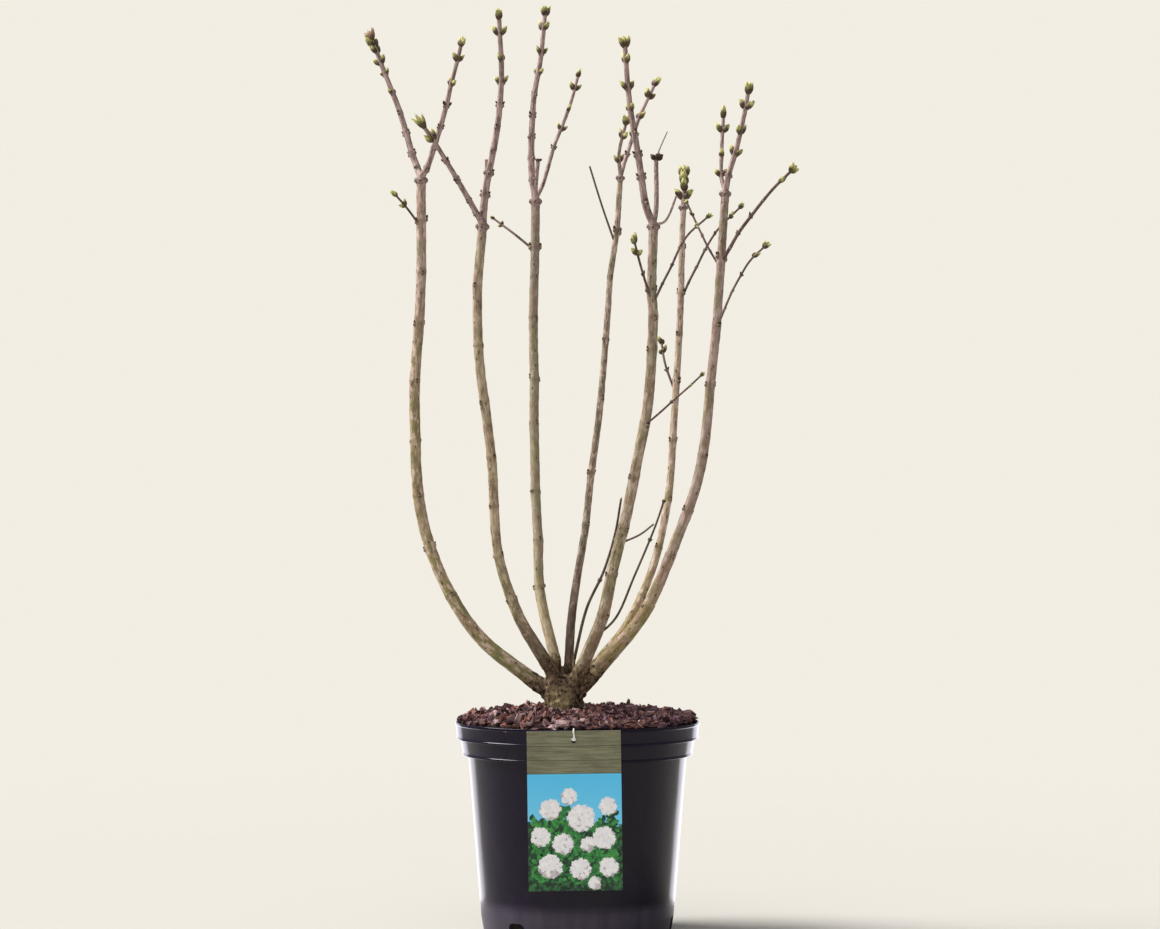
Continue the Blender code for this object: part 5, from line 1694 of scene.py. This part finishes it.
class LILAC_OT_label(LilacOperator):
    """Make the plant label and its print of plain flowers and leaves."""

    bl_idname = "lilac.label"
    bl_label = "Plant label"

    hole_drop = 11 * MM
    hole_radius = 2.6 * MM
    lean = math.radians(-0.8)
    width = 104 * MM
    height = 176.6 * MM
    header_height = 47.5 * MM
    rod_length = 8 * MM
    layer_step = 0.035

    def execute(self, context):
        settings = context.scene.lilac_label
        self.proud = settings.print_proud
        swing = 2 * math.sin(self.lean) * (self.height / 2 - self.hole_drop)
        self.middle = Vector(((CARD_LOW.x + CARD_HIGH.x) / 2 - swing, 0, (CARD_LOW.z + CARD_HIGH.z) / 2))
        self.face = CARD_LOW.y
        self.make_card()
        self.make_grounds(settings)
        self.make_flowers()
        return {"FINISHED"}

    def hung(self, obj):
        """Leans a piece of the label as the card leans, about the card's middle."""
        turn = Matrix.Rotation(self.lean, 4, "Y")
        about = Matrix.Translation(self.middle)
        obj.data.transform(about @ turn @ Matrix.Translation(-self.middle))
        return obj

    def finish(self, obj, name, ink):
        """Hangs a printed piece with the card, and finishes it."""
        as_piece(self.hung(obj), name, ink, "printed_card")

    def panel(self, left, right, low, high, front, back):
        """A thin block of the card between heights measured from the card's middle."""
        block = added(bpy.ops.mesh.primitive_cube_add, size=1)
        block.scale = (right - left, back - front, high - low)
        place = (self.middle.x + (left + right) / 2, (front + back) / 2, self.middle.z + (low + high) / 2)
        block.location = place
        return settled(block)

    def rod(self):
        """The rod that cuts the tie's hole."""
        height = self.middle.z + self.height / 2 - self.hole_drop
        place = (self.middle.x, self.face, height)
        return added(bpy.ops.mesh.primitive_cylinder_add, vertices=32, radius=self.hole_radius,
                     depth=self.rod_length, location=place, rotation=(math.pi / 2, 0, 0))

    def make_card(self):
        """The white card, with a fine rounding on its edges and the tie's hole."""
        half = self.width / 2
        tall = self.height / 2
        card = self.panel(-half, half, -tall, tall, self.face + self.proud, CARD_HIGH.y)
        changed(card, "BEVEL", width=0.12 * MM, segments=2, limit_method="ANGLE")
        cut_by(card, [self.rod()])
        finish = print_ink("card_white", colour(196, 196, 186), colour(206, 206, 198), 3 * MM)
        as_piece(smoothed(self.hung(card), 30), "label_card", finish, "printed_card", "plant_label")

    def make_grounds(self, settings):
        """The two printed grounds, and the dark rules across the upper one."""
        half = self.width / 2
        tall = self.height / 2
        parting = tall - self.header_height
        front = self.face
        back = self.face + self.proud
        header = self.panel(-half, half, parting, tall, front, back)
        cut_by(header, [self.rod()])
        self.finish(header, "label_header", header_ink(full(settings.header)))
        sky = self.panel(-half, half, -tall, parting, front, back)
        self.finish(sky, "label_sky", sky_ink(settings.sky))
        rules = []
        for lift in RULE_LIFTS:
            height = parting + lift * MM
            rules.append(self.panel(-half, half, height, height + RULE_THICKNESS, front - RULE_PROUD, front))
        rule = joined_as_one(rules)
        ink = print_ink("rule_ink", colour(70, 68, 50), colour(84, 82, 62), 4 * MM)
        self.finish(rule, "label_rules", ink)

    def printed(self, spray, kind, layer):
        """A kind of printed shapes as one joined piece, on its own layer of ink."""
        obj = spray.build(kind, smooth=False)
        for vert in obj.data.vertices:
            vert.co.x += self.middle.x
            vert.co.z += self.middle.z
            vert.co.y += self.face - layer * self.layer_step * MM
        return obj

    def make_flowers(self):
        """A hedge of broad leaves with round heads of plain white blossoms."""
        draw = random.Random(LABEL_SEED)
        spray = Spray()
        spray.model("leaf", flat_shape([(0, 0), (0.2, 0.2), (0.24, 0.48), (0.13, 0.8), (0, 1)], 0.004 * MM))
        spray.model("petal", flat_shape([(0, 0), (0.2, 0.3), (0.36, 0.62), (0.3, 0.9), (0, 1)], 0.004 * MM))
        low = -self.height / 2
        half = self.width / 2

        def laid(kind, model, across, lift, turn, width, length):
            depth = -draw.uniform(0, 0.03) * MM
            spin = Matrix.Translation((across, depth, lift)) @ Matrix.Rotation(turn, 4, "Y")
            spray.add(kind, model, spin @ Matrix.Diagonal((width, 1.0, length, 1.0)))

        def hedge_top(across):
            wave = HEDGE_WAVE * math.cos(across / half * 6.0 + 0.8)
            return low + (HEDGE_HEIGHT + wave - HEDGE_FALL * abs(across) / half) * MM

        for kind, count, longest in LABEL_LEAVES:
            for _ in range(count):
                size = draw.uniform(6, longest) * MM
                across = draw.uniform(-half + 2 * MM, half - 2 * MM)
                lift = low + size + (hedge_top(across) - low - size) * draw.random()
                turn = draw.uniform(-1.5, 1.5)
                if abs(across) > half - size:
                    turn = -math.copysign(draw.uniform(0.1, 2.4), across)
                laid(kind, "leaf", across, lift, turn, size, size * 0.9)
        for head_across, head_lift, head_size in LABEL_HEADS:
            count = int(head_size ** 2 * HEAD_DENSITY)
            for index in range(count):
                reach = head_size * math.sqrt((index + 0.5) / count) * HEAD_FILL
                turn = index * HEAD_TURN
                across = (head_across + math.cos(turn) * reach) * MM
                lift = low + (head_lift + math.sin(turn) * reach) * MM
                size = draw.uniform(*PETAL_SIZES) * MM
                lit = 0.62 + 0.38 * math.cos(turn - 2.2) * reach / head_size
                kind = "label_blossom_white" if draw.random() < lit else "label_blossom_cream"
                start = draw.uniform(0, math.tau)
                for petal in range(PETALS):
                    laid(kind, "petal", across, lift, start + petal * math.tau / PETALS, size, size)
        inks = (
            ("label_leaves_dark", 1, colour(26, 78, 46), colour(14, 46, 30)),
            ("label_leaves", 2, colour(70, 158, 74), colour(34, 108, 52)),
            ("label_blossom_cream", 3, colour(222, 208, 208), colour(176, 168, 178)),
            ("label_blossom_white", 4, colour(254, 252, 250), colour(240, 238, 242)),
        )
        for kind, layer, shade, other in inks:
            piece = self.printed(spray, kind, layer)
            self.finish(piece, kind, print_ink(kind + "_ink", shade, other, 5 * MM))


def flat_shape(side, thickness):
    """A thin flat shape, drawn from one side's outline and mirrored across its middle."""
    outline = [Vector((x, z)) for x, z in side] + [Vector((-x, z)) for x, z in reversed(side[1:-1])]
    obj = added(bpy.ops.mesh.primitive_circle_add, vertices=len(outline), radius=1, fill_type="NGON",
                rotation=(math.pi / 2, 0, 0))
    settled(obj)
    for vert, point in zip(obj.data.vertices, outline):
        vert.co = (point.x, 0, point.y)
    return changed(obj, "SOLIDIFY", thickness=thickness, offset=0.0)


class LILAC_OT_tie(LilacOperator):
    """Make the white tie that holds the label on the rim."""

    bl_idname = "lilac.tie"
    bl_label = "Label tie"

    def execute(self, context):
        low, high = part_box("label_tie")
        radius = TIE_RADIUS
        across = (low.x + high.x) / 2
        front = low.y + radius
        back = high.y - radius
        top = high.z - radius
        waypoints = [(0.0, front + 1.2 * MM, low.z + 1.4 * MM), (0.1, front + 0.2 * MM, low.z + 2.6 * MM),
                     (0.5, front, low.z + 6 * MM), (-0.3, front, top - 2.4 * MM), (0.0, front + MM, top),
                     (0.0, back - 2.6 * MM, top), (0.1, back - 1.4 * MM, top - 2.4 * MM),
                     (0.2, back, low.z + 3 * MM)]
        line = Line([Vector((across + sway * MM, y, z)) for sway, y, z in waypoints])
        points = [line.at(mark) for mark in stations(0.0, line.length, TIE_STATIONS)]
        strap = limb("tie", points, [radius] * len(points), 12)
        turns = []
        loop_height = low.z + 4.2 * MM
        for step in range(KNOT_STEPS + 1):
            swing = math.tau * KNOT_TURNS * step / KNOT_STEPS
            forward = front - (0.3 + 0.7 * math.cos(swing)) * MM
            sideways = across + math.sin(swing) * KNOT_WIDTH * MM
            turns.append(Vector((sideways, forward, loop_height - step * 0.06 * MM)))
        knot = limb("tie_knot", turns, [KNOT_RADIUS] * len(turns), 8)
        tie = joined_as_one([strap, knot])
        finish = print_ink("tie_white", colour(236, 236, 228), colour(222, 222, 212), 2 * MM, roughness=0.4)
        as_piece(smoothed(tie, 60), "label_tie_strap", finish, "white_tie", "label_tie")
        return {"FINISHED"}


def collar_line(line):
    """The centre line of a stem's root, from low down in the trunk to just past the stem's foot."""
    foot = line.at(0.0)
    growth = line.along(0.0)
    root = foot - growth * COLLAR_START * MM
    while math.hypot(root.x - TRUNK_ACROSS, root.y) > COLLAR_REACH and root.z > COLLAR_LOW:
        root -= growth * MM
    low = Vector((root.x, root.y, COLLAR_FOOT))
    knee = low.lerp(root, COLLAR_KNEE)
    return Line([low, knee, root, foot, foot + growth * COLLAR_RUN * MM])


class LILAC_OT_trunk(LilacOperator):
    """Make the rough trunk with a collar for every stem."""

    bl_idname = "lilac.trunk"
    bl_label = "Trunk"

    def execute(self, context):
        settings = context.scene.lilac_bark
        pieces = self.stump()
        for number, line in LINES.items():
            pieces.append(self.collar(line, stem_radius(STEMS[number], line, 0.0)))
        pieces.append(self.collar(whip_line(), WHIP.ends[0] / 2 * MM))
        trunk = joined_as_one(pieces)
        changed(trunk, "REMESH", mode="VOXEL", voxel_size=settings.voxel)
        changed(trunk, "SMOOTH", factor=0.6, iterations=3)
        self.roughen(trunk, settings)
        self.level_foot(trunk)
        self.keep_tones(trunk)
        as_piece(smoothed(trunk, 70), "trunk_rough_bark", trunk_bark(settings), "old_bark", "trunk")
        self.make_cut()
        return {"FINISHED"}

    @staticmethod
    def make_cut():
        """The pale face where a shoot was pruned off at the rightmost stem's foot."""
        place = seen_at(*CUT_AT)
        growth = Vector(CUT_FACING).normalized()
        points = [place + growth * step * MM for step, _ in CUT_RINGS]
        face = limb("cut", points, [radius * MM for _, radius in CUT_RINGS], 16)
        finish = speckled("cut_wood", colour(204, 180, 140), darker=0.75, size=3 * MM)
        as_piece(smoothed(face), "trunk_pruning_cut", finish, "old_bark")

    @staticmethod
    def keep_tones(trunk):
        """Keeps on each point how far out it lies on a stem's root, and how pale that stem is."""
        places = places_of(trunk.data)
        count = len(places)
        nearest = np.full(count, np.inf)
        young = np.zeros(count)
        pale = np.zeros(count)
        for number, line in LINES.items():
            bend = collar_line(line)
            radius = stem_radius(STEMS[number], line, 0.0)
            steps = 20
            for step in range(steps + 1):
                share = step / steps
                away = np.linalg.norm(places - np.array(bend.at(bend.length * share)), axis=1) - radius
                closer = away < nearest
                nearest[closer] = away[closer]
                young[closer] = min(max((share - YOUNG_FROM) / YOUNG_RUN, 0.0), 1.0)
                pale[closer] = PALENESS[number]
        young *= np.clip(1.0 - nearest / YOUNG_REACH, 0.0, 1.0)
        keep(trunk.data, "young", young)
        keep(trunk.data, "pale", pale)

    @staticmethod
    def stump():
        """The trunk's body and its root flare."""
        rings = Line([Vector((TRUNK_ACROSS, 0, height * MM)) for height, _ in TRUNK_RINGS])
        heights = [height * MM for height, _ in TRUNK_RINGS]
        widths = [radius * MM for _, radius in TRUNK_RINGS]
        points = [rings.at(mark) for mark in stations(0.0, rings.length, STUMP_STATIONS)]
        radii = [float(np.interp(point.z, heights, widths)) for point in points]
        flare = [seen_at(*ROOT_FLARE_FOOT, ROOT_FLARE_DEPTH), seen_at(*ROOT_FLARE_TOP, 0)]
        flare[0].z = points[0].z
        steps = range(ROOT_FLARE_STEPS + 1)
        flare_points = [flare[0].lerp(flare[1], step / ROOT_FLARE_STEPS) for step in steps]
        flare_radii = [(ROOT_FLARE_RADIUS - ROOT_FLARE_TAPER * step / ROOT_FLARE_STEPS) * MM
                       for step in steps]
        return [limb("stump", points, radii, 32), limb("flare", flare_points, flare_radii, 20)]

    @staticmethod
    def collar(line, radius):
        """The trunk's own root of one stem, which runs out on the stem in a thin sleeve."""
        bend = collar_line(line)
        count = 24
        marks = stations(0.0, bend.length, count)
        swells = np.interp(np.linspace(0, 1, count + 1), COLLAR_SHARES, COLLAR_SWELLS)
        radii = [radius * float(swell) for swell in swells]
        return limb("collar", [bend.at(mark) for mark in marks], radii, 20)

    @staticmethod
    def roughen(trunk, settings):
        """Deep ridges on the old wood that die out on the collars."""
        old = trunk.vertex_groups.new(name="old")
        for vert in trunk.data.vertices:
            share = 1.0 - (vert.co.z - ROUGH_LEVEL) / ROUGH_FADE
            away = math.hypot(vert.co.x - TRUNK_ACROSS, vert.co.y)
            near = 1.0 - (away - ROUGH_REACH) / ROUGH_RUNOUT
            old.add([vert.index], max(min(share, near, 1.0), ROUGH_LEAST), "REPLACE")
        plates = relief_texture("bark_plates", "VORONOI", 6.5 * MM)
        plates.weight_1 = -1.0
        plates.weight_2 = 1.0
        ropes = relief_texture("bark_ropes", "CLOUDS", 12 * MM)
        knots = relief_texture("bark_knots", "CLOUDS", 5.5 * MM)
        reliefs = ((ropes, 3.2, 1.8, 0.55), (plates, 1.6, 1.1, 0.3), (knots, 1.2, 1.5, 0.5))
        for texture, stretch, share, middle in reliefs:
            helper = added(bpy.ops.object.empty_add, type="PLAIN_AXES")
            helper.scale = (1.0, 1.0, stretch)
            bpy.context.view_layer.update()
            changed(trunk, "DISPLACE", texture=texture, texture_coords="OBJECT", mid_level=middle,
                    texture_coords_object=helper, strength=settings.trunk_relief * share, vertex_group="old")
            bpy.data.objects.remove(helper, do_unlink=True)

    @staticmethod
    def level_foot(trunk):
        """Cuts the trunk flat at the level it stands on."""
        level = {"plane_co": (0, 0, TRUNK_LOW.z), "plane_no": (0, 0, 1)}
        edited(trunk, (bpy.ops.mesh.bisect, {**level, "clear_inner": True, "use_fill": True}))


class LILAC_OT_stems(LilacOperator):
    """Make the seven stems with their joints and winter buds."""

    bl_idname = "lilac.stems"
    bl_label = "Stems"

    def execute(self, context):
        settings = context.scene.lilac_bark
        buds = shared_buds(context)
        for number, stem in STEMS.items():
            self.grow(stem, LINES[number], settings, buds)
        return {"FINISHED"}

    @staticmethod
    def grow(stem, line, settings, buds):
        """One stem from inside its collar to its fork."""
        start = -STEM_SUNK
        joints = joint_marks(stem, line)
        count = int((line.length - start) / settings.ring)
        marks = stations(start, line.length, count)
        radii, nearness = swollen(marks, lambda mark: stem_radius(stem, line, mark), joints, settings.swell)
        points = [line.at(mark) for mark in marks]
        wood = limb(stem.name, points, radii, 16)
        keep_nearness(wood, points, nearness)
        uneven(wood, 9 * MM, settings.relief)
        girth = math.pi * stem.thicknesses[1] * MM
        bark = stem_bark(stem, line.length, girth)
        nodes = (stem.name + "_lower", stem.name + "_upper")
        as_piece(smoothed(wood), stem.name + "_limb", bark, "stem_bark", *nodes)
        draw = random.Random(STEM_SEED + stem.number)
        carrying = [side.height for side in SIDES.values() if side.stem == stem.number]
        for rank, joint in enumerate(joints):
            above = stem.joints[rank]
            stout = STOUT_JOINT if any(0 <= above - height < STOUT_REACH for height in carrying) else 1.0
            turn = stem.turn + rank * math.pi / 2 + draw.uniform(-0.25, 0.25)
            radius = stem_radius(stem, line, joint) * (1 + settings.swell)
            growth = line.along(joint)
            for sign in (-1, 1):
                outwards = level_side(line, joint, turn) * sign
                size = draw.uniform(*JOINT_SIZES) * stout * MM
                slip = draw.uniform(-JOINT_SLIP, JOINT_SLIP) * MM
                centre = line.at(joint + slip) + outwards * radius * 0.9
                buds.cushion("stem_cushions", centre, outwards, growth, size)
                if draw.random() < JOINT_BUD_SHARE:
                    lean = (outwards + growth * draw.uniform(*JOINT_BUD_LEANS)).normalized()
                    place = centre + growth * size * 0.3
                    width = draw.uniform(*JOINT_BUD_WIDTHS) * stout * MM
                    length = draw.uniform(*JOINT_BUD_LENGTHS) * stout * MM
                    buds.dormant(place, lean, width, length, draw)


class LILAC_OT_tops(LilacOperator):
    """Make the sprays of young shoots that the stems fork into."""

    bl_idname = "lilac.tops"
    bl_label = "Forked tops"

    def execute(self, context):
        settings = context.scene.lilac_bark
        buds = shared_buds(context)
        for number, stem in STEMS.items():
            self.grow(stem, LINES[number], settings, buds)
        return {"FINISHED"}

    @staticmethod
    def grow(stem, line, settings, buds):
        """One top: the swollen stub on the stem, and the shoots from its fork."""
        draw = random.Random(TOP_SEED + stem.number)
        growth = line.along(line.length)
        radius = stem_radius(stem, line, line.length)
        start = line.at(line.length)
        stub = radius * STUB_LENGTH
        fork = start + growth * (GAP + stub * STUB_FORK)
        heights, girths, nearness = zip(*KNOB_RINGS)
        points = [start + growth * stub * share for share in heights]
        knob = limb(stem.name + "_knob", points, [radius * girth for girth in girths], 16)
        keep_nearness(knob, points, nearness)
        woods = [knob]
        longest = 0.0
        for index, shoot in enumerate(TOPS[stem.number]):
            route = shoot_line(fork, stem.top_depth, shoot)
            longest = max(longest, route.length)
            name = f"{stem.name}_shoot_{index}"
            woods.append(grow_shoot(name, route, 0.0, shoot, draw, buds, settings.ring, settings.swell))
        wood = uneven(joined_as_one(woods), 7 * MM, settings.relief * 0.6)
        bark = shoot_bark(stem.name + "_young_bark", full(settings.shoot), longest, math.pi * radius * 1.6)
        as_piece(smoothed(wood), stem.name + "_shoots", bark, "young_shoots", stem.name + "_top")
        for turn, size in KNOB_CUSHIONS:
            outwards = level_side(line, line.length, turn)
            size = size * MM * (0.6 + 0.4 * radius / (5 * MM))
            centre = start + growth * stub * 0.4 + outwards * radius
            buds.cushion("shoot_cushions", centre, outwards, growth, size)


class LILAC_OT_twigs(LilacOperator):
    """Make the side twigs, the dead twigs and the whips."""

    bl_idname = "lilac.twigs"
    bl_label = "Side twigs"

    def execute(self, context):
        settings = context.scene.lilac_bark
        buds = shared_buds(context)
        for seed, (name, side) in enumerate(SIDES.items()):
            stem = STEMS[side.stem]
            line = LINES[side.stem]
            depth = depth_on_stem(stem, side.height)
            mark = line.mark_of_height(seen_at(0, side.height, depth).z)
            route = shoot_line(line.at(mark), depth, side.shoot)
            start = stem_radius(stem, line, mark) * 0.8
            self.grow(name, route, start, side.shoot, random.Random(SIDE_SEED + seed), settings, buds)
        draw = random.Random(WHIP_SEED)
        self.grow("trunk_whip", whip_line(), -WHIP_SUNK, WHIP, draw, settings, buds)
        return {"FINISHED"}

    @staticmethod
    def grow(name, route, start, shoot, draw, settings, buds):
        """One twig, which starts just inside the bark that carries it."""
        wood = grow_shoot(name, route, start, shoot, draw, buds, settings.ring, settings.swell)
        if shoot.buds:
            girth = math.pi * shoot.ends[0] * MM
            shade = settings.whip if "whip" in name else settings.twig
            bark = shoot_bark(name + "_bark", full(shade), route.length, girth)
            slot = "young_shoots"
        else:
            bark = dead_wood(name + "_bark", full(settings.dead))
            slot = "dead_bark"
        as_piece(smoothed(wood), name + "_wood", bark, slot, name)


class LILAC_OT_buds(LilacOperator):
    """Join the buds, the leaf scars and the bark cushions, each kind apart."""

    bl_idname = "lilac.buds"
    bl_label = "Buds"

    def execute(self, context):
        settings = context.scene.lilac_buds
        bark = context.scene.lilac_bark
        skins = {
            "bud_cores": bud_skin("bud_core_skin", full(settings.olive), colour(160, 152, 88)),
            "bud_scales_brown": bud_skin("brown_scale_skin", full(settings.brown), colour(136, 120, 80)),
            "bud_scales_ruddy": bud_skin("ruddy_scale_skin", colour(118, 88, 68), colour(176, 144, 112)),
            "bud_scales_olive": bud_skin("olive_scale_skin", full(settings.olive), colour(166, 160, 96)),
            "bud_scales_green": bud_skin("green_scale_skin", full(settings.green), colour(222, 216, 138)),
            "dormant_buds": bud_skin("dormant_bud_skin", colour(68, 52, 42), colour(112, 90, 68), 0.6),
            "leaf_scars": bud_skin("leaf_scar_skin", colour(86, 66, 56), roughness=0.8),
            "shoot_cushions": bud_skin("shoot_cushion_skin", shaded(bark.shoot, 0.8), roughness=0.6),
            "stem_cushions": bud_skin("stem_cushion_skin", colour(144, 124, 96), roughness=0.7),
        }
        for kind, skin in skins.items():
            piece = shared_buds(context).spray.build(kind)
            as_piece(piece, kind, skin, "young_shoots")
        return {"FINISHED"}


MAKERS = (LILAC_OT_stage, LILAC_OT_pot, LILAC_OT_compost, LILAC_OT_mulch, LILAC_OT_label, LILAC_OT_tie,
          LILAC_OT_trunk, LILAC_OT_stems, LILAC_OT_tops, LILAC_OT_twigs, LILAC_OT_buds)
GROUPS = {
    "lilac_stage": LilacStageSettings,
    "lilac_pot": LilacPotSettings,
    "lilac_bark": LilacBarkSettings,
    "lilac_buds": LilacBudSettings,
    "lilac_label": LilacLabelSettings,
}


class LILAC_PT_panel(bpy.types.Panel):
    """Sizes, colours and makers of the potted lilac."""

    bl_idname = "LILAC_PT_panel"
    bl_label = "Potted lilac"
    bl_space_type = "VIEW_3D"
    bl_region_type = "UI"
    bl_category = "Lilac"

    def draw(self, context):
        layout = self.layout
        for maker in MAKERS:
            layout.operator(maker.bl_idname)
        for name, group in GROUPS.items():
            box = layout.box()
            box.label(text=group.__doc__)
            settings = getattr(context.scene, name)
            for field in group.__annotations__:
                box.prop(settings, field)


def register():
    """Registers the settings, the makers and the panel."""
    for name, group in GROUPS.items():
        bpy.utils.register_class(group)
        setattr(bpy.types.Scene, name, PointerProperty(type=group))
    for maker in (*MAKERS, LILAC_PT_panel):
        bpy.utils.register_class(maker)


def unregister():
    """Takes the panel, the makers and the settings away again."""
    for maker in (LILAC_PT_panel, *reversed(MAKERS)):
        bpy.utils.unregister_class(maker)
    for name, group in reversed(GROUPS.items()):
        delattr(bpy.types.Scene, name)
        bpy.utils.unregister_class(group)


def main():
    """Makes every piece in order."""
    register()
    for maker in MAKERS:
        group, name = maker.bl_idname.split(".")
        getattr(getattr(bpy.ops, group), name)()


if __name__ == "__main__":
    main()
